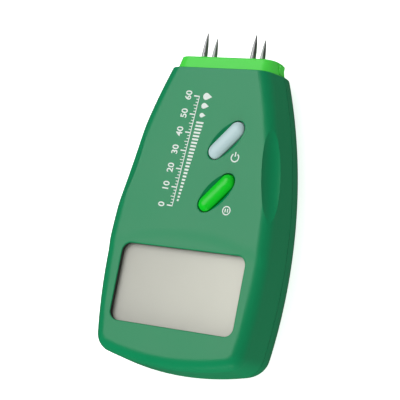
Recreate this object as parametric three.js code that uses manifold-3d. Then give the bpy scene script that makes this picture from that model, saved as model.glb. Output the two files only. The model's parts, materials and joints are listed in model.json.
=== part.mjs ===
// Pin-type moisture meter, millimetres.
// X is the width, +Y points towards the electrodes, +Z points out of the display.
// The meter lies on its back: z = 0 is the flat back, x = 0 is the plane of symmetry,
// and y = 0 is half way, within 0.3 mm, between the wide end and the tips of the electrodes.
import * as THREE from 'three';
import { mergeVertices } from 'three/addons/utils/BufferGeometryUtils.js';
import Module from 'manifold-3d';

const wasm = await Module();
wasm.setup();

// ---------------------------------------------------------------- driving dimensions

const WIDE_END_Y = -55;             // wide end of the case
const CASE_TOP_Y = 42.5;            // flat narrow end of the case
const COLLAR_TOP_Y = 47;            // top of the pin block
const TIP_Y = 55.6;                 // tips of the electrodes
const PART_Z = 11;                  // height of the joint between the shells
const PART_GAP = 0.1;               // half of the groove between the shells
const WALL = 1.9;                   // thickness of the shells

// outline at the joint: a wide end arc, two long flank arcs and two rounded corners
const END_RADIUS = 96;
const FLANK_RADIUS = 172;
const FLANK_HALF_WIDTH = 30.85;     // half width at the widest place
const FLANK_WIDEST_Y = -18.5;
const CORNER_RADIUS = 7.5;
const SHOULDER_RADIUS = 1.6;        // small corner at the narrow end

// front surface: a plane that falls towards the electrodes, with a rolled edge
const FACE_TILT = THREE.MathUtils.degToRad(2.31);
const FACE_SLOPE = Math.tan(FACE_TILT);
const FACE_Z = 21.33;               // height of the front surface at y = 0
const FACE_INSET = 5.6;             // from the joint outline to the flat of the face
const FACE_EDGE_RADIUS = 4.5;
const FACE_EDGE_TURN = THREE.MathUtils.degToRad(76);
const BACK_INSET = 7;               // from the joint outline to the flat of the back

// the display stands in a zone a little lower than the face, under an arched step
const ZONE_DROP = 0.5;
const ARCH_RADIUS = 76.8;
const ARCH_CREST_Y = -9;
const ARCH_RAMP = 5;
const DISPLAY_Y = -28.56;
const DISPLAY_WIDTH = 45;
const DISPLAY_HEIGHT = 24.9;
const DISPLAY_CORNER = 3;

// keys
const KEY_X = 8.1;
const POWER_KEY_Y = 19.35;
const HOLD_KEY_Y = 2.48;
const KEY_TURN = THREE.MathUtils.degToRad(50);
const KEY_HALF_LENGTH = 4.8;        // between the centre and the centre of a round end
const KEY_RADIUS = 2.5;
const KEY_GAP = 0.25;
const KEY_TOP = 1.3;                // above the face
const KEY_BOTTOM = -3.3;
const KEY_CROWN = 1.7;
const KEY_FLANGE_TOP = -2;
const DISH = { rx: 9, ry: 4.35, rz: 2.2, z: 1 };   // ellipsoid round each key, its centre over the face

// thumb and finger scoops in the flanks
const SCOOP = { x: 28.6, y: 9.5, z: 2.2, rx: 6.2, ry: 22, rz: 6.2, turn: THREE.MathUtils.degToRad(10.5) };
const SCOOP_WALL = 1.4;              // wall left behind a scoop

// pin block and electrodes
const COLLAR_HALF_WIDTH = 18.5;
const COLLAR_HALF_HEIGHT = 6.3;
const COLLAR_CORNER = 5;
const COLLAR_TAPER = 0.95;          // width at the top against the width at the case
const COLLAR_WAIST = 1.25;          // depth of the groove that the shells hold
const COLLAR_BLOCK_Y = 33.5;        // inner end of the block
const PIN_X = 9;
const PIN_Z = 3.1;
const PIN_CONE_RADIUS = 0.95;
const PIN_SHANK_RADIUS = 1.2;

// battery bay: three cells side by side, lengthways
const CELL_RADIUS = 5.2;
const CELL_LENGTH = 43.6;
const CELL_NUB = 0.9;
const CELL_PITCH = 10.7;
const CELL_Z = 7.5;
const BAY_HALF_WIDTH = 16.2;
const BAY_Y = [-47.9, -0.05];
const BAY_TOP_Z = 12.9;
const BAY_WALL = 1.2;
const CONTACT_THICKNESS = 0.4;
const CONTACT_GAP = 0.05;

// battery door and its rails
const DOOR_HALF_WIDTH = 17.95;
const DOOR_Z = [0.25, 1.75];
const DOOR_TONGUE_HALF_WIDTH = 19.1;
const DOOR_TONGUE_Z = 1.15;
const DOOR_TOP_Y = 1.75;
const DOOR_CLEARANCE = 0.2;

// boards and fasteners
const BOARD_Z = [-7.3, -6.3];       // in the tilted frame of the face
const STACK_GAP = 0.1;              // between pieces that rest on each other
const CASE_SCREWS = [[-23.5, -4], [23.5, -4], [-17, 29.5], [17, 29.5]];
const BOARD_SCREWS = [[-20.5, -9.5], [20.5, -9.5], [0, 24.5]];

const ARC_STEPS = 6;                // a three.js arc gets twice this many straight edges
const ROUND_STEPS = 20;

// ---------------------------------------------------------------- materials

const finish = (color, roughness, metalness = 0) =>
  new THREE.MeshStandardMaterial({ color, roughness, metalness });

const materials = {
  greenShell: finish('#1f8b55', 0.42),
  limePlastic: finish('#35c93b', 0.35),
  greyKey: finish('#cfd9dd', 0.45),
  pinSteel: finish('#a9abad', 0.28, 1),
  clearWindow: finish('#e9ece6', 0.08),
  displayGlass: finish('#c9cabd', 0.2),
  darkPlastic: finish('#2b2f2f', 0.6),
  silicone: finish('#d9d9d2', 0.7),
  carbon: finish('#1d1d1f', 0.8),
  laminate: finish('#1f5e3a', 0.5),
  nickel: finish('#c3c0b6', 0.3, 1),
  zinc: finish('#b9bec2', 0.35, 1),
  cellJacket: finish('#33475c', 0.4),
  trimmerBlue: finish('#2d5fa8', 0.5),
  redWire: finish('#b3262a', 0.5),
  blackWire: finish('#232323', 0.5),
  whiteWire: finish('#dddddd', 0.5),
};

// ---------------------------------------------------------------- solids and meshes

// A closed geometry becomes a solid whose faces point outwards.
function solid(geometry) {
  const bare = geometry.clone();
  bare.deleteAttribute('normal');
  bare.deleteAttribute('uv');
  const merged = mergeVertices(bare, 1e-4);
  const position = merged.attributes.position;
  const corner = (i) => new THREE.Vector3().fromBufferAttribute(position, i);
  const triangles = [];
  let volume = 0;
  for (let i = 0; i < merged.index.count; i += 3) {
    const [a, b, c] = [0, 1, 2].map((k) => merged.index.getX(i + k));
    if (a === b || b === c || c === a) continue;
    triangles.push([a, b, c]);
    volume += corner(a).dot(corner(b).cross(corner(c)));
  }
  const outwards = volume > 0 ? triangles : triangles.map(([a, b, c]) => [a, c, b]);
  return new wasm.Manifold(new wasm.Mesh({
    numProp: 3,
    vertProperties: new Float32Array(position.array),
    triVerts: new Uint32Array(outwards.flat()),
  }));
}

function geometryOf(body) {
  const mesh = body.getMesh();
  const geometry = new THREE.BufferGeometry();
  geometry.setAttribute('position', new THREE.BufferAttribute(mesh.vertProperties, 3));
  geometry.setIndex(new THREE.BufferAttribute(mesh.triVerts, 1));
  geometry.computeVertexNormals();
  return geometry;
}

const meter = new THREE.Group();

// Everything that is fitted to the front surface is placed in this tilted frame:
// its origin lies on the face at y = 0, and its z points out of the face.
const faceFrame = new THREE.Group();
faceFrame.position.z = FACE_Z;
faceFrame.rotation.x = -FACE_TILT;
faceFrame.updateMatrix();
meter.add(faceFrame);

function piece(name, body, material, parent = meter) {
  const geometry = body.isBufferGeometry ? geometryOf(solid(body)) : geometryOf(body);
  const mesh = new THREE.Mesh(geometry, material);
  mesh.name = name;
  parent.add(mesh);
  return mesh;
}

// ---------------------------------------------------------------- shape helpers

function box(x0, x1, y0, y1, z0, z1) {
  const geometry = new THREE.BoxGeometry(x1 - x0, y1 - y0, z1 - z0);
  return geometry.translate((x0 + x1) / 2, (y0 + y1) / 2, (z0 + z1) / 2);
}

function roundedRect(halfWidth, halfHeight, radius) {
  const shape = new THREE.Shape();
  const x = halfWidth - radius;
  const y = halfHeight - radius;
  shape.absarc(x, y, radius, 0, Math.PI / 2);
  shape.absarc(-x, y, radius, Math.PI / 2, Math.PI);
  shape.absarc(-x, -y, radius, Math.PI, 1.5 * Math.PI);
  shape.absarc(x, -y, radius, 1.5 * Math.PI, 2 * Math.PI);
  return shape;
}

function stadium(halfLength, radius) {
  const shape = new THREE.Shape();
  shape.absarc(halfLength, 0, radius, -Math.PI / 2, Math.PI / 2);
  shape.absarc(-halfLength, 0, radius, Math.PI / 2, 1.5 * Math.PI);
  return shape;
}

function slab(shape, z0, z1, curveSegments = 4) {
  const geometry = new THREE.ExtrudeGeometry(shape, { depth: z1 - z0, bevelEnabled: false, curveSegments });
  return geometry.translate(0, 0, z0);
}

// A shape drawn in X and Z, standing between y0 and y1.
function upright(shape, y0, y1, curveSegments = 4) {
  return slab(shape, -y1, -y0, curveSegments).rotateX(Math.PI / 2);
}

// A turned solid about Z: pairs of radius and height, from the axis back to the axis.
function turned(profile, x = 0, y = 0, steps = ROUND_STEPS) {
  const points = profile.map(([r, z]) => new THREE.Vector2(r, z));
  return new THREE.LatheGeometry(points, steps).rotateX(Math.PI / 2).translate(x, y, 0);
}

// A turned solid about Y: pairs of radius and y.
function turnedAlongY(profile, x = 0, z = 0, steps = ROUND_STEPS) {
  const points = profile.map(([r, y]) => new THREE.Vector2(r, y));
  return new THREE.LatheGeometry(points, steps).translate(x, 0, z);
}

const rod = (radius, z0, z1, x = 0, y = 0, steps = ROUND_STEPS) =>
  turned([[0, z0], [radius, z0], [radius, z1], [0, z1]], x, y, steps);

// A round tube along a smooth curve through the points.
function tube(points, radius, steps, sides = 8) {
  const section = new THREE.Shape();
  section.absarc(0, 0, radius, 0, 2 * Math.PI);
  const path = new THREE.CatmullRomCurve3(points.map((p) => new THREE.Vector3(...p)));
  return new THREE.ExtrudeGeometry(section, { extrudePath: path, steps, curveSegments: sides / 2 });
}

const onFace = (geometry) => geometry.clone().applyMatrix4(faceFrame.matrix);

// ---------------------------------------------------------------- case outline

const FLANK_CENTRE_X = FLANK_HALF_WIDTH - FLANK_RADIUS;
const END_CENTRE_Y = WIDE_END_Y + END_RADIUS;

// The rounded corner touches both the end arc and the flank arc from inside.
function cornerCentre() {
  const toEnd = END_RADIUS - CORNER_RADIUS;
  const toFlank = FLANK_RADIUS - CORNER_RADIUS;
  const dx = -FLANK_CENTRE_X;
  const dy = END_CENTRE_Y - FLANK_WIDEST_Y;
  const apart = Math.hypot(dx, dy);
  const along = (apart * apart + toFlank * toFlank - toEnd * toEnd) / (2 * apart);
  const across = Math.sqrt(toFlank * toFlank - along * along);
  return {
    x: FLANK_CENTRE_X + (along * dx + across * dy) / apart,
    y: FLANK_WIDEST_Y + (along * dy - across * dx) / apart,
  };
}

const CORNER = cornerCentre();
const CORNER_START = Math.atan2(CORNER.y - END_CENTRE_Y, CORNER.x);
const CORNER_END = Math.atan2(CORNER.y - FLANK_WIDEST_Y, CORNER.x - FLANK_CENTRE_X);

// The outline, moved inwards by `inset`, up to a straight edge at `topY`.
// A `shoulder` rounds the two corners at that edge.
function caseOutline(inset, topY, shoulder = 0) {
  const flank = FLANK_RADIUS - inset;
  const reach = FLANK_RADIUS - shoulder;
  const shoulderY = topY - shoulder;
  const flankEnd = Math.asin((shoulderY - FLANK_WIDEST_Y) / (shoulder ? reach : flank));
  const shoulderX = FLANK_CENTRE_X + reach * Math.cos(flankEnd);
  const shape = new THREE.Shape();
  shape.absarc(0, END_CENTRE_Y, END_RADIUS - inset, -Math.PI - CORNER_START, CORNER_START);
  shape.absarc(CORNER.x, CORNER.y, CORNER_RADIUS - inset, CORNER_START, CORNER_END);
  shape.absarc(FLANK_CENTRE_X, FLANK_WIDEST_Y, flank, CORNER_END, flankEnd);
  if (shoulder) {
    shape.absarc(shoulderX, shoulderY, shoulder, flankEnd, Math.PI / 2);
    shape.absarc(-shoulderX, shoulderY, shoulder, Math.PI / 2, Math.PI - flankEnd);
  }
  shape.absarc(-FLANK_CENTRE_X, FLANK_WIDEST_Y, flank, Math.PI - flankEnd, Math.PI - CORNER_END);
  shape.absarc(-CORNER.x, CORNER.y, CORNER_RADIUS - inset, Math.PI - CORNER_END, Math.PI - CORNER_START);
  return shape;
}

const OUTLINE_TOP_Y = 60;           // the shells are cut back from here to the narrow end
const STRAIGHT = 4;                 // plain height under or over the rolled part

const faceHeight = (y) => FACE_Z - FACE_SLOPE * y;

// The front of the case. Rings of the bevel are moved to the heights of a rolled edge
// on the sloping face and of a flank that leans out to the joint.
function frontForm(inset, drop) {
  const flatInset = FACE_INSET - inset;
  const radius = FACE_EDGE_RADIUS - inset;
  const turnInset = flatInset - radius * Math.sin(FACE_EDGE_TURN);
  const turnDrop = radius * (1 - Math.cos(FACE_EDGE_TURN));
  const geometry = new THREE.ExtrudeGeometry(caseOutline(inset, OUTLINE_TOP_Y), {
    depth: STRAIGHT,
    bevelThickness: 1,
    bevelSize: flatInset,
    bevelOffset: -flatInset,
    bevelSegments: 7,
    curveSegments: ARC_STEPS,
  });
  const position = geometry.attributes.position;
  for (let i = 0; i < position.count; i += 1) {
    const rise = position.getZ(i) - STRAIGHT;
    const top = faceHeight(position.getY(i)) - inset - drop;
    let z = PART_Z + rise;
    if (rise > 0) {
      const ringInset = flatInset * (1 - Math.sqrt(Math.max(0, 1 - rise * rise)));
      if (ringInset >= turnInset) {
        const across = (flatInset - ringInset) / radius;
        z = top - radius * (1 - Math.sqrt(1 - across * across));
      } else {
        z = PART_Z + (top - turnDrop - PART_Z) * (ringInset / turnInset);
      }
    }
    position.setZ(i, z);
  }
  return solid(geometry);
}

// The back of the case: a quarter ellipse from the joint to the flat back.
function backForm(inset) {
  const backInset = BACK_INSET - (inset ? inset - 0.3 : 0);
  const geometry = new THREE.ExtrudeGeometry(caseOutline(inset, OUTLINE_TOP_Y), {
    depth: STRAIGHT,
    bevelThickness: PART_Z - inset,
    bevelSize: backInset,
    bevelOffset: -backInset,
    bevelSegments: 6,
    curveSegments: ARC_STEPS,
  });
  return solid(geometry.translate(0, 0, PART_Z));
}

const FAR = 90;
const above = (z) => solid(box(-FAR, FAR, -FAR, FAR, z, FAR));
const below = (z) => solid(box(-FAR, FAR, -FAR, FAR, -FAR, z));
const endTrim = solid(slab(caseOutline(0, CASE_TOP_Y, SHOULDER_RADIUS), -5, 40, ARC_STEPS));
const innerTrim = solid(box(-FAR, FAR, -FAR, CASE_TOP_Y - WALL, -5, 40));

// The seat of the pin block in the narrow end, half in each shell.
const collarSeat = solid(upright(
  roundedRect(COLLAR_HALF_WIDTH - COLLAR_WAIST + 0.2, COLLAR_HALF_HEIGHT - COLLAR_WAIST + 0.2, 4),
  CASE_TOP_Y - WALL - 1,
  CASE_TOP_Y + 1,
).translate(0, 0, PART_Z));

// ---------------------------------------------------------------- front shell

function keyPlace(geometry, y) {
  return geometry.clone().rotateZ(KEY_TURN).translate(KEY_X, y, 0);
}

function displayStep() {
  const centreY = ARCH_CREST_Y - ARCH_RADIUS;
  const depth = ZONE_DROP + 0.2;
  const steps = 120;
  const run = ARCH_RAMP * depth / ZONE_DROP;
  const profile = [[0, -depth], [ARCH_RADIUS - run, -depth], [ARCH_RADIUS, 0], [ARCH_RADIUS, 6], [0, 6]];
  return solid(onFace(turned(profile, 0, centreY, steps)));
}

function scoop(side, grow = 0) {
  const geometry = new THREE.SphereGeometry(1, 24, 16);
  geometry.scale(SCOOP.rx + grow, SCOOP.ry + grow, SCOOP.rz + grow);
  geometry.rotateZ(side * SCOOP.turn);
  geometry.translate(side * SCOOP.x, SCOOP.y, SCOOP.z);
  return solid(onFace(geometry));
}

function keyPocket(y) {
  const dish = new THREE.SphereGeometry(1, 32, 16).scale(DISH.rx, DISH.ry, DISH.rz);
  dish.translate(0, 0, DISH.z);
  const slot = slab(stadium(KEY_HALF_LENGTH, KEY_RADIUS + KEY_GAP), -6, 3, 6);
  return solid(onFace(keyPlace(dish, y))).add(solid(onFace(keyPlace(slot, y))));
}

function frontShell() {
  const raised = frontForm(0, 0).subtract(displayStep());
  let shell = raised.add(frontForm(0, ZONE_DROP)).intersect(endTrim);
  const hollow = frontForm(WALL, 0).intersect(innerTrim);
  const cavity = hollow.subtract(scoop(1, SCOOP_WALL)).subtract(scoop(-1, SCOOP_WALL));
  shell = shell.subtract(cavity);

  const posts = [];
  for (const [x, y] of CASE_SCREWS) {
    posts.push(rod(3.2, PART_Z + 0.3, faceHeight(y) - 1, x, y));
  }
  for (const [x, y] of BOARD_SCREWS) {
    posts.push(onFace(rod(2.2, BOARD_Z[1] + STACK_GAP, -1, x, y)));
  }
  for (const post of posts) shell = shell.add(solid(post));

  const cuts = [
    onFace(slab(roundedRect(DISPLAY_WIDTH / 2, DISPLAY_HEIGHT / 2, DISPLAY_CORNER), -5, 3)
      .translate(0, DISPLAY_Y, 0)),
  ];
  for (const [x, y] of CASE_SCREWS) cuts.push(rod(1.2, PART_Z - 1, faceHeight(y) - 3, x, y, 12));
  for (const [x, y] of BOARD_SCREWS) cuts.push(onFace(rod(0.9, -9, -2.6, x, y, 12)));
  for (const cut of cuts) shell = shell.subtract(solid(cut));
  shell = shell.subtract(keyPocket(POWER_KEY_Y)).subtract(keyPocket(HOLD_KEY_Y));
  shell = shell.subtract(scoop(1)).subtract(scoop(-1)).subtract(collarSeat);
  return shell.intersect(above(PART_Z + PART_GAP));
}

piece('front_shell', frontShell(), materials.greenShell);

// ---------------------------------------------------------------- rear shell

const LIP_INSET = [2.4, 3.2];
const LIP_RISE = 1.2;

// The lip that stands inside the front shell and keeps the joint in line.
function jointLip() {
  const ring = (outer, z0, z1) => {
    const outside = solid(slab(caseOutline(outer, 38), z0, z1, ARC_STEPS));
    const inside = solid(slab(caseOutline(LIP_INSET[1], 37), z0 - 1, z1 + 1, ARC_STEPS));
    return outside.subtract(inside);
  };
  const root = ring(WALL - 0.2, PART_Z - 3, PART_Z - PART_GAP);
  const besideCollar = solid(box(-19, 19, COLLAR_BLOCK_Y - 0.5, 50, 0, 20));
  return root.add(ring(LIP_INSET[0], PART_Z - 2, PART_Z + LIP_RISE)).subtract(besideCollar);
}

const RAIL_HALF_WIDTH = 20.4;
const LATCH_HALF_WIDTH = 8;
const LATCH_Y = 3.2;

function rearShell() {
  const outer = backForm(0).intersect(endTrim);
  const cavity = backForm(WALL).intersect(innerTrim);
  let shell = outer.subtract(cavity).intersect(below(PART_Z - PART_GAP));
  shell = shell.add(jointLip().intersect(outer));

  const bayX = BAY_HALF_WIDTH + BAY_WALL;
  const adds = [
    box(-bayX, bayX, BAY_Y[0] - BAY_WALL, BAY_Y[1] + BAY_WALL, 1, BAY_TOP_Z + 1),
    box(-RAIL_HALF_WIDTH, RAIL_HALF_WIDTH, WIDE_END_Y + 2.5, LATCH_Y + 1.4, 1, 3),
  ];
  for (const [x, y] of CASE_SCREWS) adds.push(rod(3.8, 1, PART_Z - 0.2, x, y));
  for (const add of adds) shell = shell.add(solid(add));
  shell = shell.intersect(outer.add(above(PART_Z - PART_GAP - 0.1)));

  const clear = DOOR_CLEARANCE;
  const cuts = [
    box(-BAY_HALF_WIDTH, BAY_HALF_WIDTH, BAY_Y[0], BAY_Y[1], -1, BAY_TOP_Z),
    box(-DOOR_HALF_WIDTH - clear, DOOR_HALF_WIDTH + clear, -FAR, DOOR_TOP_Y + clear, -1, DOOR_Z[1] + clear),
    box(-DOOR_TONGUE_HALF_WIDTH - clear, DOOR_TONGUE_HALF_WIDTH + clear, -FAR, DOOR_TOP_Y + clear,
      DOOR_TONGUE_Z - clear, DOOR_Z[1] + clear),
    box(-LATCH_HALF_WIDTH - clear, LATCH_HALF_WIDTH + clear, -2, LATCH_Y + clear,
      DOOR_TONGUE_Z - clear, DOOR_Z[1] + clear),
    // slots for the two terminal tabs
    box(-CELL_PITCH - 1.4, -CELL_PITCH + 1.4, BAY_Y[1] - 1, BAY_Y[1] + 3, 6.6, 9.4),
    box(CELL_PITCH - 1.4, CELL_PITCH + 1.4, BAY_Y[0] - 3, BAY_Y[0] + 1, 6.6, 9.4),
  ];
  for (const [x, y] of CASE_SCREWS) {
    cuts.push(rod(2.9, -1, 4, x, y));
    cuts.push(rod(1.35, 3, PART_Z + 1, x, y, 12));
  }
  for (const cut of cuts) shell = shell.subtract(solid(cut));
  return shell.subtract(collarSeat);
}

piece('rear_shell', rearShell(), materials.greenShell);

// ---------------------------------------------------------------- battery door

function batteryDoor() {
  const outer = backForm(0).intersect(endTrim);
  const plate = solid(box(-DOOR_HALF_WIDTH, DOOR_HALF_WIDTH, -FAR, DOOR_TOP_Y, DOOR_Z[0], DOOR_Z[1]));
  const tongues = solid(box(-DOOR_TONGUE_HALF_WIDTH, DOOR_TONGUE_HALF_WIDTH, WIDE_END_Y + 5, DOOR_TOP_Y,
    DOOR_TONGUE_Z, DOOR_Z[1]));
  const latch = solid(box(-LATCH_HALF_WIDTH, LATCH_HALF_WIDTH, -3, LATCH_Y, DOOR_TONGUE_Z, DOOR_Z[1]));
  let door = plate.add(tongues).add(latch).intersect(outer);
  const gripRibs = 5;
  for (let i = 0; i < gripRibs; i += 1) {
    const y = -43 + 2.2 * i;
    door = door.subtract(solid(box(-7 + 0.6 * i, 7 - 0.6 * i, y, y + 1.1, -1, DOOR_Z[0] + 0.45)));
  }
  return door;
}

piece('battery_door', batteryDoor(), materials.greenShell);

// ---------------------------------------------------------------- pin block and electrodes

function pinCollar() {
  const head = upright(roundedRect(COLLAR_HALF_WIDTH, COLLAR_HALF_HEIGHT, COLLAR_CORNER),
    CASE_TOP_Y + 0.1, COLLAR_TOP_Y, 5);
  const position = head.attributes.position;
  for (let i = 0; i < position.count; i += 1) {
    const up = (position.getY(i) - CASE_TOP_Y) / (COLLAR_TOP_Y - CASE_TOP_Y);
    const scale = 1 - (1 - COLLAR_TAPER) * up;
    position.setX(i, position.getX(i) * scale);
    position.setZ(i, position.getZ(i) * scale);
  }
  const waist = upright(
    roundedRect(COLLAR_HALF_WIDTH - COLLAR_WAIST, COLLAR_HALF_HEIGHT - COLLAR_WAIST, 3.8),
    CASE_TOP_Y - WALL - 1, CASE_TOP_Y + 1, 5);
  const block = upright(roundedRect(COLLAR_HALF_WIDTH - 0.9, COLLAR_HALF_HEIGHT - 0.3, COLLAR_CORNER),
    COLLAR_BLOCK_Y, CASE_TOP_Y - WALL - 0.2, 5);
  let collar = solid(head).add(solid(waist)).add(solid(block));
  for (const side of [-1, 1]) {
    // the small rib that a cap snaps over
    const rib = box(-0.9, 0.9, CASE_TOP_Y + 0.6, COLLAR_TOP_Y - 0.9, -1.4, 1.4);
    collar = collar.add(solid(rib.translate(side * (COLLAR_HALF_WIDTH - 0.9), 0, 0)));
    for (const lift of [-PIN_Z, PIN_Z]) {
      const bore = turnedAlongY([
        [0, 30], [PIN_SHANK_RADIUS + 0.1, 30], [PIN_SHANK_RADIUS + 0.1, 45.3],
        [PIN_CONE_RADIUS + 0.1, 45.3], [PIN_CONE_RADIUS + 0.1, 48], [0, 48],
      ], side * PIN_X, lift);
      collar = collar.subtract(solid(bore));
    }
  }
  return collar.translate([0, 0, PART_Z]);
}

piece('pin_collar', pinCollar(), materials.limePlastic);

const BUS_Y = [COLLAR_BLOCK_Y - 1.1, COLLAR_BLOCK_Y - 0.1];
const NUT_Y = [BUS_Y[0] - 2.1, BUS_Y[0] - 0.1];

const POINT_FULLNESS = 1.7;
const POINT_SHARPNESS = 0.85;

// The point starts full and closes faster towards the tip.
function pointedEnd() {
  const foot = COLLAR_TOP_Y + 0.1;
  return [0, 0.25, 0.5, 0.75, 0.9, 0.98].map((t) => [
    PIN_CONE_RADIUS * (1 - t ** POINT_FULLNESS) ** POINT_SHARPNESS,
    foot + (TIP_Y - foot) * t,
  ]);
}

const electrodePlaces = [[-PIN_X, PIN_Z], [-PIN_X, -PIN_Z], [PIN_X, PIN_Z], [PIN_X, -PIN_Z]];

electrodePlaces.forEach(([x, lift], i) => {
  const electrode = turnedAlongY([
    [0, NUT_Y[0] - 0.6], [PIN_SHANK_RADIUS, NUT_Y[0] - 0.6], [PIN_SHANK_RADIUS, 45.1],
    [PIN_CONE_RADIUS, 45.3], ...pointedEnd(), [0, TIP_Y],
  ], x, PART_Z + lift, 16);
  piece(`electrode_pin_${i + 1}`, electrode, materials.pinSteel);

  const hexagon = new THREE.CylinderGeometry(2.7, 2.7, NUT_Y[1] - NUT_Y[0], 6);
  hexagon.translate(x, (NUT_Y[0] + NUT_Y[1]) / 2, PART_Z + lift);
  const hole = turnedAlongY([[0, 20], [PIN_SHANK_RADIUS + 0.05, 20], [PIN_SHANK_RADIUS + 0.05, 40], [0, 40]],
    x, PART_Z + lift, 16);
  piece(`pin_nut_${i + 1}`, solid(hexagon).subtract(solid(hole)), materials.nickel);
});

// Each plate joins the two electrodes of one side and carries a solder tab.
for (const [name, side] of [['left_bus_plate', -1], ['right_bus_plate', 1]]) {
  let plate = solid(box(-2.4, 2.4, BUS_Y[0], BUS_Y[1], -5.6, 5.6).translate(side * PIN_X, 0, PART_Z));
  const tab = box(0, 3, BUS_Y[0], BUS_Y[1], -1.5, 1.5);
  plate = plate.add(solid(tab.translate(side * PIN_X - (side > 0 ? 5 : -2), 0, PART_Z)));
  for (const lift of [-PIN_Z, PIN_Z]) {
    const hole = turnedAlongY([[0, 20], [PIN_SHANK_RADIUS + 0.1, 20], [PIN_SHANK_RADIUS + 0.1, 40], [0, 40]],
      side * PIN_X, PART_Z + lift, 16);
    plate = plate.subtract(solid(hole));
  }
  piece(name, plate, materials.nickel);
}

// ---------------------------------------------------------------- display

const WINDOW_Z = [-3.1, -2.2];
const BEZEL_Z = [-5.6, -3.2];
const BEZEL_LIP_Z = -3.7;
const atDisplay = (geometry) => geometry.translate(0, DISPLAY_Y, 0);

const windowPane = atDisplay(slab(roundedRect(24.3, 14.2, 2), ...WINDOW_Z));
piece('lcd_window', windowPane, materials.clearWindow, faceFrame);

const bezelFrame = solid(atDisplay(slab(roundedRect(25.2, 15.2, 2), ...BEZEL_Z)));
const bezelView = solid(atDisplay(slab(roundedRect(22.75, 12.7, 3), BEZEL_Z[0] - 1, BEZEL_Z[1] + 1)));
const bezelPocket = solid(atDisplay(box(-24.1, 24.1, -13.95, 13.95, BEZEL_Z[0] - 1, BEZEL_LIP_Z)));
piece('lcd_bezel', bezelFrame.subtract(bezelView).subtract(bezelPocket), materials.darkPlastic, faceFrame);

piece('lcd_panel', atDisplay(box(-23.9, 23.9, -13.75, 13.75, BEZEL_Z[0], BEZEL_LIP_Z - STACK_GAP)),
  materials.displayGlass, faceFrame);

for (const [name, side] of [['zebra_strip_upper', 1], ['zebra_strip_lower', -1]]) {
  const strip = box(-22, 22, -0.9, 0.9, BOARD_Z[1] + STACK_GAP, BEZEL_Z[0] - STACK_GAP);
  piece(name, atDisplay(strip.translate(0, side * 12.4, 0)), materials.darkPlastic, faceFrame);
}

// ---------------------------------------------------------------- keys and their switches

const DOME_TOP = KEY_BOTTOM - STACK_GAP;
const DOME_FOOT = BOARD_Z[1] + STACK_GAP;

function key(y) {
  const height = KEY_TOP - KEY_CROWN - KEY_BOTTOM;
  const cap = new THREE.ExtrudeGeometry(stadium(KEY_HALF_LENGTH, KEY_RADIUS), {
    depth: height,
    bevelThickness: KEY_CROWN,
    bevelSize: KEY_RADIUS - 0.3,
    bevelOffset: 0.3 - KEY_RADIUS,
    bevelSegments: 6,
    curveSegments: 6,
  }).translate(0, 0, KEY_BOTTOM);
  const flange = slab(stadium(KEY_HALF_LENGTH, KEY_RADIUS + 0.9), KEY_BOTTOM, KEY_FLANGE_TOP, 6);
  const upper = solid(box(-20, 20, -20, 20, KEY_BOTTOM, 10));
  const blank = solid(cap).intersect(upper).add(solid(flange));
  return keyPlace(geometryOf(blank), y);
}

const keys = [['power', POWER_KEY_Y, materials.greyKey], ['hold', HOLD_KEY_Y, materials.limePlastic]];
for (const [name, y, material] of keys) {
  piece(`${name}_button`, key(y), material, faceFrame);
  const dome = turned([
    [2.9, DOME_FOOT], [3.7, DOME_FOOT], [3.7, DOME_FOOT + 0.5], [2.9, DOME_FOOT + 0.7], [1.9, DOME_TOP - 0.4],
    [1.7, DOME_TOP], [0, DOME_TOP], [0, DOME_TOP - 0.8], [1.45, DOME_TOP - 0.8], [2.4, DOME_FOOT + 0.5],
    [2.9, DOME_FOOT],
  ], KEY_X, y);
  piece(`${name}_dome`, dome, materials.silicone, faceFrame);
  piece(`${name}_contact_pill`, rod(1.2, DOME_TOP - 1.75, DOME_TOP - 0.9, KEY_X, y, 16),
    materials.carbon, faceFrame);
}

// ---------------------------------------------------------------- main board

function boardShape() {
  const half = [
    [0, -43], [24.6, -43], [24.6, -7], [16.5, -7], [16.5, 21.5], [9.6, 21.5], [9.6, 28.6], [0, 28.6],
  ];
  const mirrored = half.slice(1, -1).reverse().map(([x, y]) => [-x, y]);
  return new THREE.Shape([...half, ...mirrored].map(([x, y]) => new THREE.Vector2(x, y)));
}

let board = solid(slab(boardShape(), ...BOARD_Z));
for (const [x, y] of BOARD_SCREWS) board = board.subtract(solid(rod(1.05, -9, -5, x, y, 16)));
piece('main_board', board, materials.laminate, faceFrame);

// parts on the underside of the board
const UNDER = BOARD_Z[0] - STACK_GAP;
const onBoard = (x, y, w, d, h) => box(x - w / 2, x + w / 2, y - d / 2, y + d / 2, UNDER - h, UNDER);
piece('processor_chip', onBoard(-2.5, 9.5, 10, 10, 1.4), materials.carbon, faceFrame);
piece('amplifier_chip', onBoard(-5, 20.5, 5, 4, 1.5), materials.carbon, faceFrame);
piece('filter_capacitor', rod(2.5, UNDER - 5.4, UNDER, 4.5, 20, 20), materials.nickel, faceFrame);
const trimmerBody = solid(onBoard(7.6, 8, 6.5, 6.5, 4));
const trimmerSlot = solid(box(5.7, 9.5, 7.6, 8.4, UNDER - 5, UNDER - 3.4));
piece('calibration_trimmer', trimmerBody.subtract(trimmerSlot), materials.trimmerBlue, faceFrame);

// ---------------------------------------------------------------- screws

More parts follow.
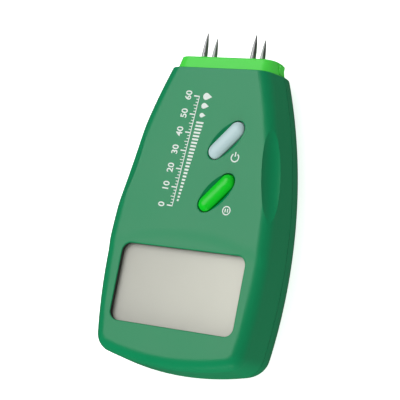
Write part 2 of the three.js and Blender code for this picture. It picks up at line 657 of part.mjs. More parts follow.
// A pan head screw with a cross recess. It points up: the head is at the bottom.
function screw(x, y, headZ, headRadius, headHeight, shankRadius, tipZ) {
  const body = turned([
    [0, headZ], [headRadius * 0.7, headZ], [headRadius, headZ + headHeight * 0.45],
    [headRadius, headZ + headHeight], [shankRadius, headZ + headHeight], [shankRadius, tipZ - 0.8],
    [shankRadius * 0.4, tipZ], [0, tipZ],
  ], 0, 0, 16);
  const reach = headRadius * 0.55;
  const slot = headRadius * 0.14;
  const depth = headHeight * 0.55;
  const cross = solid(box(-reach, reach, -slot, slot, headZ - 1, headZ + depth))
    .add(solid(box(-slot, slot, -reach, reach, headZ - 1, headZ + depth)));
  return geometryOf(solid(body).subtract(cross)).translate(x, y, 0);
}

CASE_SCREWS.forEach(([x, y], i) => {
  piece(`case_screw_${i + 1}`, screw(x, y, 2.1, 2.5, 1.8, 1.1, 15.5), materials.zinc);
});
BOARD_SCREWS.forEach(([x, y], i) => {
  piece(`board_screw_${i + 1}`, screw(x, y, UNDER - 1.1, 1.7, 1.1, 0.8, -3.6), materials.zinc, faceFrame);
});

// ---------------------------------------------------------------- cells and contacts

const SPRING_LENGTH = BAY_Y[1] - BAY_Y[0] - 2 * CONTACT_THICKNESS - 5 * CONTACT_GAP - CELL_LENGTH - CELL_NUB;
const LOWER_CONTACT_Y = BAY_Y[0] + CONTACT_GAP;
const UPPER_CONTACT_Y = BAY_Y[1] - CONTACT_GAP - CONTACT_THICKNESS;

// `flip` puts the positive nub at the wide end.
function cell(x, flip) {
  const nub = CELL_LENGTH + CELL_NUB;
  const profile = [
    [0, 0], [3.4, 0], [3.6, 0.3], [4.8, 0.3], [CELL_RADIUS, 0.8], [CELL_RADIUS, CELL_LENGTH - 0.5],
    [4.8, CELL_LENGTH], [1.9, CELL_LENGTH], [1.9, nub - 0.2], [1.7, nub], [0, nub],
  ];
  const start = LOWER_CONTACT_Y + CONTACT_THICKNESS + CONTACT_GAP;
  const y0 = flip ? start : start + SPRING_LENGTH + CONTACT_GAP;
  const geometry = turnedAlongY(profile, 0, 0, 24);
  if (flip) geometry.rotateX(Math.PI).translate(0, nub, 0);
  return geometry.translate(x, y0, CELL_Z);
}

function cellSpring(x, y0) {
  const turns = 2.5;
  const wire = 0.25;
  const steps = 30;
  const points = [];
  for (let i = 0; i <= steps; i += 1) {
    const t = i / steps;
    const radius = 2.9 - 1.1 * t;
    const angle = 2 * Math.PI * turns * t;
    const y = y0 + wire + (SPRING_LENGTH - 2 * wire) * t;
    points.push([x + radius * Math.cos(angle), y, CELL_Z + radius * Math.sin(angle)]);
  }
  return points;
}

[-1, 0, 1].forEach((column, i) => {
  const x = column * CELL_PITCH;
  const flip = column === 0;
  piece(`battery_cell_${i + 1}`, cell(x, flip), materials.cellJacket);
  const low = LOWER_CONTACT_Y + CONTACT_THICKNESS + CONTACT_GAP;
  const high = UPPER_CONTACT_Y - CONTACT_GAP;
  const points = cellSpring(x, low);
  const placed = flip ? points.map(([px, py, pz]) => [px, high + low - py, pz]) : points;
  piece(`cell_spring_${i + 1}`, tube(placed, 0.25, 40, 6), materials.nickel);
});

const contact = (x0, x1, y) => box(x0 - 4, x1 + 4, y, y + CONTACT_THICKNESS, CELL_Z - 4, CELL_Z + 4);
const tab = (x, y0, y1) => box(x - 1, x + 1, y0, y1, 7, 9);
const P = CELL_PITCH;
const positive = solid(contact(-P, -P, UPPER_CONTACT_Y))
  .add(solid(tab(-P, UPPER_CONTACT_Y, BAY_Y[1] + BAY_WALL + 1)));
const negative = solid(contact(P, P, LOWER_CONTACT_Y))
  .add(solid(tab(P, BAY_Y[0] - BAY_WALL - 1, LOWER_CONTACT_Y + CONTACT_THICKNESS)));
piece('positive_terminal', positive, materials.nickel);
piece('negative_terminal', negative, materials.nickel);
piece('upper_link_plate', contact(0, P, UPPER_CONTACT_Y), materials.nickel);
piece('lower_link_plate', contact(-P, 0, LOWER_CONTACT_Y), materials.nickel);

// ---------------------------------------------------------------- wires

const WIRE_RADIUS = 0.55;
const positiveTabY = BAY_Y[1] + BAY_WALL + 1;
piece('positive_lead', tube([
  [-P, positiveTabY + 0.1, 8], [-P, positiveTabY + 2, 8.1], [-11, positiveTabY + 4, 9.5], [-12, 6.5, 11.5],
  [-12, 7, 13.1],
], WIRE_RADIUS, 12, 6), materials.redWire);

const negativeTabY = BAY_Y[0] - BAY_WALL - 1;
piece('negative_lead', tube([
  [P, negativeTabY + 0.35, 6.9], [P, negativeTabY + 0.35, 6.2], [P + 1.4, negativeTabY + 0.25, 5.7],
  [16, -50, 5.9], [18.5, -49.7, 6.8], [19.6, -47.6, 7.3], [19.3, -44, 8], [19.3, -30, 8], [19.3, -14, 8],
  [18.8, -2, 8.5], [17, 4, 9.6], [14.8, 7, 10.8], [14.9, 14, 11.8], [14.8, 16, 12.8],
], WIRE_RADIUS, 44, 6), materials.blackWire);

for (const [name, side] of [['left_pin_wire', -1], ['right_pin_wire', 1]]) {
  piece(name, tube([
    [side * 5.2, BUS_Y[0] - 0.1, PART_Z - 0.6], [side * 5.2, BUS_Y[0] - 1.6, PART_Z - 0.7],
    [side * 5.4, BUS_Y[0] - 3.6, PART_Z - 0.5], [side * 6, 26.6, PART_Z + 0.4],
    [side * 6.4, 25.9, PART_Z + 1.6],
  ], WIRE_RADIUS, 12, 6), materials.whiteWire);
}

export default meter;
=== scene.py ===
# %% [markdown]
# # A pin-type moisture meter
# The real object is a pocket instrument about 110 mm long. Two moulded green shells meet in a fine joint
# round the middle. A pale display sits behind a window at the wide end, two slanted keys stand in dished
# pockets, and four sharp steel electrodes come out of a lime block at the narrow end.
# The CAD frame already fixes where everything is, so each new piece here is drawn to the CAD's sizes and
# rides on the body it belongs to.

# %% Load the frame
import json
import math

import bmesh
import bpy
from mathutils import Matrix, Vector

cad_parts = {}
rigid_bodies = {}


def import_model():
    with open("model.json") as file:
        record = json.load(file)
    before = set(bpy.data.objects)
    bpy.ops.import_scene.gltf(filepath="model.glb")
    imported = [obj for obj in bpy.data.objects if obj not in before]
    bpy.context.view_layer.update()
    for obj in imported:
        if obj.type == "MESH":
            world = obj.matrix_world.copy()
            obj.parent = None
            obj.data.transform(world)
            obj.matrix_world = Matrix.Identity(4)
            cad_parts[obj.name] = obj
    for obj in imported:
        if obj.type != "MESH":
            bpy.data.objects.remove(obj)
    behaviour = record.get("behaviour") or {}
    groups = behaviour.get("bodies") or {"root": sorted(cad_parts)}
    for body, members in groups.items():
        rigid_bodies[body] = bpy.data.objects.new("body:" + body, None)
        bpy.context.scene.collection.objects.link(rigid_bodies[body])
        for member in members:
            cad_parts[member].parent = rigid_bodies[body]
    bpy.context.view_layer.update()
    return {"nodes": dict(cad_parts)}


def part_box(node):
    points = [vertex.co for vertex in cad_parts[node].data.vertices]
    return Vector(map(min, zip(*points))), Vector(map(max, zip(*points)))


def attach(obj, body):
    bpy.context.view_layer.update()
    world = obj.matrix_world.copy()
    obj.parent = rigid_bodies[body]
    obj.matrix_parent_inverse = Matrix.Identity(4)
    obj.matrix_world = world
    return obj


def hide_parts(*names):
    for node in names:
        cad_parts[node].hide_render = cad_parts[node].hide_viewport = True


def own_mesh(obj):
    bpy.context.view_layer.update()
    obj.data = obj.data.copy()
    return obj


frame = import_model()

# %% [markdown]
# ## Sizes
# Blender works in metres here, and a small instrument is easier to think about in millimetres. One factor,
# `MM`, turns one into the other. The values are the ones a mould maker would put on the drawing: the radii
# of the outline, the height of the joint, the tilt of the face.

# %% Driving sizes
MM = 0.001
WIDE_END_Y = -55 * MM
CASE_TOP_Y = 42.5 * MM
COLLAR_TOP_Y = 47 * MM
TIP_Y = 55.6 * MM
PART_Z = 11 * MM
WALL = 1.9 * MM

END_RADIUS = 96 * MM
FLANK_RADIUS = 172 * MM
FLANK_HALF_WIDTH = 30.85 * MM
FLANK_WIDEST_Y = -18.5 * MM
CORNER_RADIUS = 7.5 * MM

FACE_TILT = math.radians(2.31)
FACE_Z = 21.33 * MM
FACE_INSET = 5.6 * MM
FACE_EDGE_RADIUS = 4.5 * MM
FACE_EDGE_TURN = math.radians(76)
BACK_INSET = 7 * MM
UP = Vector((0, 0, 1))


def face_height(y):
    """Height of the front surface over the back, which falls towards the electrodes."""
    return FACE_Z - y * math.tan(FACE_TILT)


print("thickness at the ends:", [round(face_height(y) / MM, 1) for y in (WIDE_END_Y, CASE_TOP_Y)])

# %% [markdown]
# ## Drawing with a pen
# A moulded case starts as an outline of tangent arcs. Blender has no sketcher, but `spin` sweeps a single
# vertex round a centre and leaves the edges behind, which is exactly what a compass does. A small pen that
# spins arcs and extrudes straight lines keeps every outline to a handful of calls.


# %% A pen that draws outlines in a bmesh
class Pen:
    """Draws a chain of edges in the XY plane from `start`, with arcs and straight lines."""

    def __init__(self, bm, start):
        self.bm = bm
        self.first = self.tip = bm.verts.new((start[0], start[1], 0))

    def line(self, to):
        made = bmesh.ops.extrude_vert_indiv(self.bm, verts=[self.tip])
        self.tip = made["verts"][0]
        self.tip.co = (to[0], to[1], 0)
        return self

    def arc(self, centre, degrees, steps):
        made = bmesh.ops.spin(self.bm, geom=[self.tip], cent=(centre[0], centre[1], 0), axis=UP,
                              angle=math.radians(degrees), steps=steps, use_duplicate=False)
        self.tip = [v for v in made["geom_last"] if isinstance(v, bmesh.types.BMVert)][0]
        return self


def fill(bm, merge=1e-6):
    """Welds the ends of a drawn chain and fills it with one face that looks up."""
    bmesh.ops.remove_doubles(bm, verts=bm.verts[:], dist=merge)
    open_edges = [e for e in bm.edges if not e.link_faces]
    face = bmesh.ops.contextual_create(bm, geom=open_edges)["faces"][0]
    if face.normal.z < 0:
        face.normal_flip()
    face.normal_update()
    return face


def rings(bm, face, steps):
    """Walks the face inwards and along its normal: each step is (inset, rise)."""
    for inset, rise in steps:
        bmesh.ops.inset_region(bm, faces=[face], thickness=inset, depth=rise, use_boundary=True,
                               use_even_offset=True)
    return face


def deltas(profile):
    """Turns a profile of (inset, height) points into the steps between them."""
    return [(b[0] - a[0], b[1] - a[1]) for a, b in zip(profile, profile[1:])]


def close(bm):
    """Fills what is still open with one face and turns all faces outwards."""
    open_edges = [e for e in bm.edges if len(e.link_faces) == 1]
    if open_edges:
        bmesh.ops.contextual_create(bm, geom=open_edges)
    bmesh.ops.recalc_face_normals(bm, faces=bm.faces[:])
    return bm


def raised(bm, face, steps):
    """Walks a face up by steps of (inset, rise) in millimetres and closes the body."""
    rings(bm, face, [(inset * MM, rise * MM) for inset, rise in steps])
    return close(bm)


def placed(bm, x=0, y=0, z=0, turn=0):
    """Turns a shape about its own z and moves it, in millimetres."""
    place = Matrix.Translation((x * MM, y * MM, z * MM)) @ Matrix.Rotation(turn, 4, "Z")
    bmesh.ops.transform(bm, matrix=place, verts=bm.verts[:])
    return bm


# %% [markdown]
# ## Cutting and joining
# The pockets, slots and scoops of the case meet its surface in curves nobody wants to work out by hand.
# A Boolean modifier finds them. It is applied straight away, so that the finished piece is one plain mesh,
# and the cutting body is thrown away.


# %% Boolean helpers
WELD = 0.0005 * MM


def solid(bm, name="tool"):
    """Makes an object from a closed bmesh."""
    mesh = bpy.data.meshes.new(name)
    bm.to_mesh(mesh)
    bm.free()
    thing = bpy.data.objects.new(name, mesh)
    bpy.context.scene.collection.objects.link(thing)
    return thing


def joined(tools):
    """Joins bodies that lie apart into one object, so that one cut serves them all."""
    bm = bmesh.new()
    for tool in tools:
        bm.from_mesh(tool.data)
        bpy.data.objects.remove(tool)
    return solid(bm)


def boolean(target, tool, operation="DIFFERENCE"):
    cut = target.modifiers.new("boolean", "BOOLEAN")
    cut.operation = operation
    cut.solver = "EXACT"
    cut.object = tool
    graph = bpy.context.evaluated_depsgraph_get()
    mesh = bpy.data.meshes.new_from_object(target.evaluated_get(graph))
    target.modifiers.clear()
    worn = target.data
    target.data = mesh
    bpy.data.meshes.remove(worn)
    bpy.data.objects.remove(tool)
    bm = bmesh.new()
    bm.from_mesh(mesh)
    bmesh.ops.remove_doubles(bm, verts=bm.verts[:], dist=WELD)
    bm.to_mesh(mesh)
    bm.free()
    return target


def box(low, high, name="tool"):
    """A closed box between two corners, given in millimetres."""
    bm = bmesh.new()
    bmesh.ops.create_cube(bm, size=1)
    low, high = Vector(low) * MM, Vector(high) * MM
    bmesh.ops.scale(bm, vec=high - low, verts=bm.verts[:])
    bmesh.ops.translate(bm, vec=(low + high) / 2, verts=bm.verts[:])
    return solid(bm, name)


def turned(profile, at=(0, 0, 0), axis="Z", steps=48):
    """A turned solid: (radius, height) points in millimetres, from the axis back to the axis."""
    bm = bmesh.new()
    points = [bm.verts.new((r * MM, 0, h * MM)) for r, h in profile]
    chain = [bm.edges.new(pair) for pair in zip(points, points[1:])]
    bmesh.ops.spin(bm, geom=points + chain, cent=(0, 0, 0), axis=UP, angle=2 * math.pi, steps=steps,
                   use_merge=True, use_duplicate=False)
    bmesh.ops.remove_doubles(bm, verts=bm.verts[:], dist=1e-7)
    if axis == "Y":
        bmesh.ops.rotate(bm, cent=(0, 0, 0), matrix=Matrix.Rotation(-math.pi / 2, 3, "X"), verts=bm.verts[:])
    bmesh.ops.translate(bm, vec=Vector(at) * MM, verts=bm.verts[:])
    bmesh.ops.recalc_face_normals(bm, faces=bm.faces[:])
    return bm


def rounded_rectangle(bm, half_x, half_y, radius, z=0, segments=8):
    """A flat rounded rectangle in millimetres, looking up."""
    bmesh.ops.create_grid(bm, x_segments=1, y_segments=1, size=1)
    bmesh.ops.scale(bm, vec=(half_x * MM, half_y * MM, 1), verts=bm.verts[:])
    bmesh.ops.bevel(bm, geom=bm.verts[:], offset=radius * MM, offset_type="OFFSET", affect="VERTICES",
                    segments=segments, profile=0.5, material=-1, clamp_overlap=True)
    face = placed(bm, z=z).faces[:][0]
    if face.normal.z < 0:
        face.normal_flip()
    return face


# %% [markdown]
# ## Finishing a piece
# A moulding looks smooth where it curves and crisp at its corners. Smooth shading with the sharp edges marked
# by angle gives that, and a Weighted Normal modifier keeps the large flats flat right up to their rims.
# The same helper names the piece, lets it ride on its body and says which CAD node it stands for.


# %% Finish a piece
PLACED = []


def finish_piece(thing, name, material, body, replaces=(), sharp=35, weighted=True):
    thing.name = thing.data.name = name
    thing.data.polygons.foreach_set("use_smooth", [True] * len(thing.data.polygons))
    thing.data.set_sharp_from_angle(angle=math.radians(sharp))
    thing.data.materials.clear()
    thing.data.materials.append(material)
    if weighted:
        flats = thing.modifiers.new("flats stay flat", "WEIGHTED_NORMAL")
        flats.keep_sharp = True
        flats.weight = 60
    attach(thing, body)
    if replaces:
        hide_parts(*replaces)
    PLACED.append(thing)
    print(f"{name}: {len(thing.data.polygons)} faces, rides on {body}")
    return thing


# %% [markdown]
# ## Materials
# Nearly everything on such a meter is injection-moulded ABS. Fresh from the mould it is a saturated colour
# under a faint broad sheen, because the steel of the mould is spark-eroded to a fine grain. That is a
# Principled shader with a plastic's IOR, a middling roughness, a very low bump for the grain, and a slow
# change of roughness from handling.

# %% Node helper and colours
def linear(code):
    """An sRGB hex colour as linear RGBA."""
    parts = [int(code[i:i + 2], 16) / 255 for i in (1, 3, 5)]
    return [p / 12.92 if p <= 0.04045 else ((p + 0.055) / 1.055) ** 2.4 for p in parts] + [1]


def add(tree, kind, links=(), **settings):
    """Adds a node. Settings are properties, or inputs when the name is an input's; links go into it."""
    node = tree.nodes.new(kind)
    for key, value in settings.items():
        if hasattr(node, key):
            setattr(node, key, value)
        else:
            node.inputs[key.replace("_", " ")].default_value = value
    for source, target in links:
        tree.links.new(source, node.inputs[target])
    return node


def new_material(name):
    material = bpy.data.materials.new(name)
    material.use_nodes = True
    tree = material.node_tree
    shader = tree.nodes["Principled BSDF"]
    place = add(tree, "ShaderNodeTexCoord").outputs["Object"]
    return material, tree, shader, place


def set_shader(shader, **values):
    """Sets the shader's own inputs to constants. Underscores stand for spaces."""
    for key, value in values.items():
        shader.inputs[key.replace("_", " ")].default_value = value


def feed(tree, shader, **sources):
    """Links outputs into the shader's inputs. Underscores stand for spaces."""
    for key, source in sources.items():
        tree.links.new(source, shader.inputs[key.replace("_", " ")])


def noise(tree, place, patch_mm, detail=2.0):
    """Cloudy values between 0 and 1, in patches of the given size."""
    return add(tree, "ShaderNodeTexNoise", [(place, "Vector")], Scale=1 / (patch_mm * MM),
               Detail=detail).outputs["Fac"]


def spread(tree, source, low, high):
    """Stretches values between 0 and 1 to another range."""
    return add(tree, "ShaderNodeMapRange", [(source, "Value")], To_Min=low, To_Max=high).outputs["Result"]


def tinted(tree, colour, source, low, high):
    """One colour, made a little darker and lighter by a pattern."""
    tint = add(tree, "ShaderNodeVectorMath", [(spread(tree, source, low, high), "Scale")], operation="SCALE")
    tint.inputs[0].default_value = linear(colour)[:3]
    return tint.outputs["Vector"]


def two_tone(tree, source, first, second, ends=(0.0, 1.0)):
    """A colour that wanders between two close ones."""
    ramp = add(tree, "ShaderNodeValToRGB", [(source, "Fac")])
    for element, colour, position in zip(ramp.color_ramp.elements, (first, second), ends):
        element.color = linear(colour)
        element.position = position
    return ramp.outputs["Color"]


def moulded(name, colour, roughness, grain_mm=0.25, grain_depth=0.004, edge_mm=0.25, sheen_shift=0.05):
    """Injection-moulded plastic: even colour, faint grain, edges softened by the mould."""
    material, tree, shader, place = new_material(name)
    wear = noise(tree, place, 18, 3.0)
    edge = add(tree, "ShaderNodeBevel", samples=4, Radius=edge_mm * MM)
    bump = add(tree, "ShaderNodeBump", [(noise(tree, place, grain_mm), "Height"),
                                        (edge.outputs["Normal"], "Normal")],
               Strength=1.0, Distance=grain_depth * MM)
    feed(tree, shader, Base_Color=tinted(tree, colour, wear, 0.96, 1.04), Normal=bump.outputs["Normal"],
         Roughness=spread(tree, wear, roughness - sheen_shift, roughness + sheen_shift))
    set_shader(shader, IOR=1.52)
    return material


# %% Plastics
# ABS dyed deep green, spark-eroded mould: saturated colour, broad soft sheen.
green_abs = moulded("Moulded green ABS", "#008C57", 0.34)
# ABS dyed lime, polished mould: a brighter and slightly tighter sheen.
lime_abs = moulded("Moulded lime ABS", "#04D222", 0.29, grain_depth=0.002, edge_mm=0.3)
# The pin block is drawn in a lighter lime than the keys.
block_lime = moulded("Moulded light lime ABS", "#50E64C", 0.26, grain_depth=0.002, edge_mm=0.3)
# Pale grey ABS key, polished mould.
grey_abs = moulded("Moulded pale grey ABS", "#C0DADC", 0.32, grain_depth=0.002, edge_mm=0.15)
# Black ABS for the frame behind the window; the same black is painted shade on the inside wall of the
# opening.
black_abs_and_painted_shade = moulded("Moulded black ABS", "#1A1C1A", 0.5)
print("plastics:", green_abs.name, lime_abs.name, grey_abs.name, black_abs_and_painted_shade.name)

# %% [markdown]
# ## The case outline
# Seen from the front, the case is three arcs: a long shallow arc across the wide end, a rounded corner, and
# one very long arc that runs up each flank and draws in towards the electrodes. Half of it is drawn with the
# pen and mirrored, as a draughtsman would. Both shells, their hollows and their lip start from this outline,
# so it takes an inset that moves it inwards.


# %% Outline of the case
def corner_circle():
    """Centre of the corner arc that touches the end arc and the flank arc from inside."""
    end_centre = Vector((0, WIDE_END_Y + END_RADIUS))
    flank_centre = Vector((FLANK_HALF_WIDTH - FLANK_RADIUS, FLANK_WIDEST_Y))
    to_end = END_RADIUS - CORNER_RADIUS
    to_flank = FLANK_RADIUS - CORNER_RADIUS
    span = end_centre - flank_centre
    along = (span.length_squared + to_flank ** 2 - to_end ** 2) / (2 * span.length)
    across = math.sqrt(to_flank ** 2 - along ** 2)
    way = span.normalized()
    return end_centre, flank_centre, flank_centre + way * along + Vector((way.y, -way.x)) * across


def outline(bm, inset, top_y, steps=(20, 12, 40)):
    """Draws half the outline, mirrors it and fills it. Returns the face, looking up."""
    end_centre, flank_centre, corner = corner_circle()
    start = (corner - end_centre).angle(Vector((0, -1)))
    out = (corner - flank_centre).angle(Vector((1, 0)))
    rise = math.asin((top_y - FLANK_WIDEST_Y) / (FLANK_RADIUS - inset))
    pen = Pen(bm, (0, WIDE_END_Y + inset))
    pen.arc(end_centre, math.degrees(start), steps[0])
    pen.arc(corner, 90 - math.degrees(start) - math.degrees(out), steps[1])
    pen.arc(flank_centre, math.degrees(out + rise), steps[2])
    pen.line((0, top_y))
    bmesh.ops.mirror(bm, geom=bm.verts[:] + bm.edges[:], axis="X", merge_dist=1e-6)
    return fill(bm)


trial = bmesh.new()
outline(trial, 0, CASE_TOP_Y)
widths = [v.co.x for v in trial.verts]
print("outline width:", round((max(widths) - min(widths)) / MM, 2), "mm")
trial.free()

# %% [markdown]
# ## The front half
# From the joint the flank leans in a little, so that the moulding leaves its tool, and then rolls over in a
# 4.5 mm radius into the face. The outline is walked inwards ring by ring with `inset_region`, following that
# profile. Afterwards the rings are lifted or lowered to suit the slope of the face.
# The display stands in a zone half a millimetre lower, under a wide arch. Fine cuts both ways across the
# face give the arch enough points, and these are then eased down along the curve.

# %% Front body
STEP_RADIUS = 76.8 * MM
STEP_CREST_Y = -9 * MM
STEP_RAMP = 5 * MM
STEP_DROP = 0.5 * MM
TRIM_Y = 60 * MM


def step_depth(x, y):
    """How far the display zone lies below the face at a point."""
    reach = math.hypot(x, y - (STEP_CREST_Y - STEP_RADIUS))
    t = min(1, max(0, (STEP_RADIUS - reach) / STEP_RAMP))
    return STEP_DROP * t * t * (3 - 2 * t)


def fit_heights(bm, inset, turn_drop, stepped):
    """Moves the rings from a level face to the sloping and stepped one."""
    plain_turn = FACE_Z - inset - turn_drop
    for v in bm.verts:
        lift = face_height(v.co.y) - FACE_Z
        if stepped:
            lift -= step_depth(v.co.x, v.co.y)
        share = min(1, max(0, (v.co.z - PART_Z) / (plain_turn - PART_Z)))
        v.co.z += lift * share


def front_body(inset=0, top_y=CASE_TOP_Y, stepped=False, edge_steps=10, below=0):
    radius = FACE_EDGE_RADIUS - inset
    flat = FACE_INSET - inset
    turn_inset = flat - radius * math.sin(FACE_EDGE_TURN)
    turn_drop = radius * (1 - math.cos(FACE_EDGE_TURN))
    top = FACE_Z - inset
    turn_z = top - turn_drop
    profile = [(0, PART_Z - below)] if below else []
    profile += [(0, PART_Z), (turn_inset * 0.5, (PART_Z + turn_z) / 2), (turn_inset, turn_z)]
    for i in range(1, edge_steps + 1):
        turn = FACE_EDGE_TURN * (1 - i / edge_steps)
        profile.append((flat - radius * math.sin(turn), top - radius * (1 - math.cos(turn))))
    bm = bmesh.new()
    face = outline(bm, inset, TRIM_Y)
    bmesh.ops.translate(bm, vec=(0, 0, PART_Z - below), verts=bm.verts[:])
    rings(bm, face, deltas(profile))
    if stepped:
        cuts = [(Vector((0, y * 0.5 * MM, 0)), Vector((0, 1, 0))) for y in range(-50, -14)]
        cuts += [(Vector((x * 2.5 * MM, 0, 0)), Vector((1, 0, 0))) for x in range(-12, 13)]
        for point, normal in cuts:
            high = [f for f in bm.faces if f.calc_center_median().z > PART_Z + 2 * MM]
            near = set(high)
            geom = list(near | {e for f in high for e in f.edges} | {v for f in high for v in f.verts})
            bmesh.ops.bisect_plane(bm, geom=geom, dist=1e-7, plane_co=point, plane_no=normal)
    fit_heights(bm, inset, turn_drop, stepped)
    close(bm)
    trim(bm, top_y)
    return bm


def trim(bm, top_y):
    """Cuts the narrow end square and closes it."""
    bmesh.ops.bisect_plane(bm, geom=bm.verts[:] + bm.edges[:] + bm.faces[:], dist=1e-7,
                           plane_co=(0, top_y, 0), plane_no=(0, 1, 0), clear_outer=True)
    close(bm)


def round_end(bm, top_y, radius, away_from_z):
    """Rounds the rim of the narrow end, except along the joint."""
    rim = [e for e in bm.edges
           if all(abs(v.co.y - top_y) < 1e-6 for v in e.verts)
           and not all(abs(v.co.z - away_from_z) < 1e-6 for v in e.verts)]
    bmesh.ops.bevel(bm, geom=rim, offset=radius, offset_type="OFFSET", affect="EDGES", segments=5,
                    profile=0.5, material=-1, clamp_overlap=True)


body_mesh = front_body(stepped=True)
round_end(body_mesh, CASE_TOP_Y, 1.0 * MM, PART_Z)
print("front body:", len(body_mesh.faces), "faces")
front = solid(body_mesh, "front_half")

# %% [markdown]
# ## Openings in the face
# The window opening has rounded corners and a small fillet where it meets the face. Each key sits in a
# slanted slot in the middle of an eye-shaped dish, which lets a fingertip sink in. The slot is 0.1 mm wider
# all round than the CAD's, because its moulded edge is rounded off. The dish is the cut that a large
# ellipsoid leaves. The scoops in the flanks are cut the same way, by a long ellipsoid that only just enters
# the edge.
# Everything here is placed in the tilted frame of the face, in millimetres, where z = 0 is the surface.
# `OPENING` is half the width, half the height and the corner radius. Cutters start `CLEAR` above the face.

# %% Cutters on the face
ON_FACE = Matrix.Translation((0, 0, FACE_Z)) @ Matrix.Rotation(-FACE_TILT, 4, "X")
DISPLAY_Y = -28.56
KEY_X = 8.1
KEY_Y = {"power": 19.35, "hold": 2.48}
KEY_TURN = math.radians(50)
KEY_HALF = 4.8
KEY_RADIUS = 2.5
KEY_GAP = 0.35
OPENING = (22.5, 12.45, 3)
OPENING_FILLET = 0.35
CLEAR = 2
DISH = (9.0, 4.35, 2.2, 1.0)
SCOOP = {"centre": (28.6, 9.5, 2.2), "half": (6.2, 22, 6.2), "turn": math.radians(10.5)}
SCOOP_WALL = 1.4


def on_face(bm, x=0, y=0, turn=0):
    """Turns a shape about its own z, moves it in millimetres and puts it on the tilted face."""
    place = ON_FACE @ Matrix.Translation((x * MM, y * MM, 0)) @ Matrix.Rotation(turn, 4, "Z")
    bmesh.ops.transform(bm, matrix=place, verts=bm.verts[:])
    return bm


def opening(bm, face, surface, fillet, depth, steps=4):
    """Turns a face above the surface into a cutter whose mouth is rounded by the fillet."""
    face.normal_flip()
    profile = [(0, 0), (0, CLEAR - surface)]
    for i in range(1, steps + 1):
        turn = math.pi / 2 * i / steps
        profile.append((fillet * math.sin(turn), CLEAR - surface + fillet * (1 - math.cos(turn))))
    profile.append((fillet, CLEAR - surface + depth))
    return raised(bm, face, deltas(profile))


def stadium(bm, half, radius, z=0, steps=16):
    """A flat stadium in millimetres, long in X, looking up."""
    pen = Pen(bm, (half * MM, -radius * MM))
    pen.arc((half * MM, 0), 180, steps)
    pen.line((-half * MM, radius * MM))
    pen.arc((-half * MM, 0), 180, steps)
    pen.line((half * MM, -radius * MM))
    face = fill(bm)
    placed(bm, z=z)
    return face


def ellipsoid(half, centre, turn=0, detail=(64, 32)):
    bm = bmesh.new()
    bmesh.ops.create_uvsphere(bm, u_segments=detail[0], v_segments=detail[1], radius=1)
    bmesh.ops.scale(bm, vec=Vector(half) * MM, verts=bm.verts[:])
    bmesh.ops.rotate(bm, cent=(0, 0, 0), matrix=Matrix.Rotation(turn, 3, "Z"), verts=bm.verts[:])
    bmesh.ops.translate(bm, vec=Vector(centre) * MM, verts=bm.verts[:])
    return bm


def scoop(side, grow=0.0):
    """The long ellipsoid that scoops one flank, or a larger one that keeps the hollow away from it."""
    half = [h + grow for h in SCOOP["half"]]
    centre = (side * SCOOP["centre"][0], *SCOOP["centre"][1:])
    return solid(on_face(ellipsoid(half, centre, side * SCOOP["turn"])))


# %% Cut the display opening, key pockets and scoops
bm = bmesh.new()
face = rounded_rectangle(bm, *(size + OPENING_FILLET for size in OPENING), z=CLEAR, segments=12)
opening(bm, face, surface=-STEP_DROP / MM, fillet=OPENING_FILLET, depth=6)
boolean(front, solid(on_face(bm, 0, DISPLAY_Y)))

dishes = [ellipsoid(DISH[:3], (0, 0, DISH[3])) for key in KEY_Y]
boolean(front, joined([solid(on_face(dish, KEY_X, y, KEY_TURN)) for dish, y in zip(dishes, KEY_Y.values())]))
slots = []
for y in KEY_Y.values():
    bm = bmesh.new()
    raised(bm, stadium(bm, KEY_HALF, KEY_RADIUS + KEY_GAP, z=3), [(0, -9)])
    slots.append(solid(on_face(bm, KEY_X, y, KEY_TURN)))
boolean(front, joined(slots))

hollow = solid(front_body(WALL, CASE_TOP_Y - WALL, below=1 * MM))
boolean(hollow, joined([scoop(side, grow=SCOOP_WALL) for side in (-1, 1)]))
boolean(front, joined([scoop(side) for side in (-1, 1)]))
boolean(front, hollow)
print("front shell so far:", len(front.data.polygons), "faces")

# %% [markdown]
# ## The seat of the pin block
# Both shells close round a waist in the lime block, so the narrow end has a rounded window cut half in each
# shell. The front shell stops just above the joint, which leaves the hairline that shows between two
# mouldings.


# %% Seat, joint and bosses of the front shell
SEAT = (17.45, 5.25, 4.0)
JOINT_GAP = 0.1
BOSS_RADIUS, BOSS_BORE, BOSS_FOOT = 3.2, 1.2, 11.3
CASE_SCREWS = [(-23.5, -4), (23.5, -4), (-17, 29.5), (17, 29.5)]


def seat():
    bm = bmesh.new()
    raised(bm, rounded_rectangle(bm, *SEAT), [(0, 6)])
    stand_up = Matrix.Translation((0, CASE_TOP_Y + 2 * MM, PART_Z)) @ Matrix.Rotation(math.pi / 2, 4, "X")
    bmesh.ops.transform(bm, matrix=stand_up, verts=bm.verts[:])
    return solid(bm)


boolean(front, seat())
bosses = []
for x, y in CASE_SCREWS:
    top = face_height(y * MM) / MM
    bosses.append(solid(turned([(BOSS_BORE, BOSS_FOOT), (BOSS_RADIUS, BOSS_FOOT), (BOSS_RADIUS, top - 1.5),
                                (0, top - 1.5), (0, top - 3), (BOSS_BORE, top - 3), (BOSS_BORE, BOSS_FOOT)],
                               (x, y, 0), steps=24)))
boolean(front, joined(bosses), "UNION")
boolean(front, box((-60, -80, 0), (60, 80, PART_Z / MM + JOINT_GAP)))
finish_piece(front, "front_case", green_abs, "case", ["front_shell"], sharp=28)
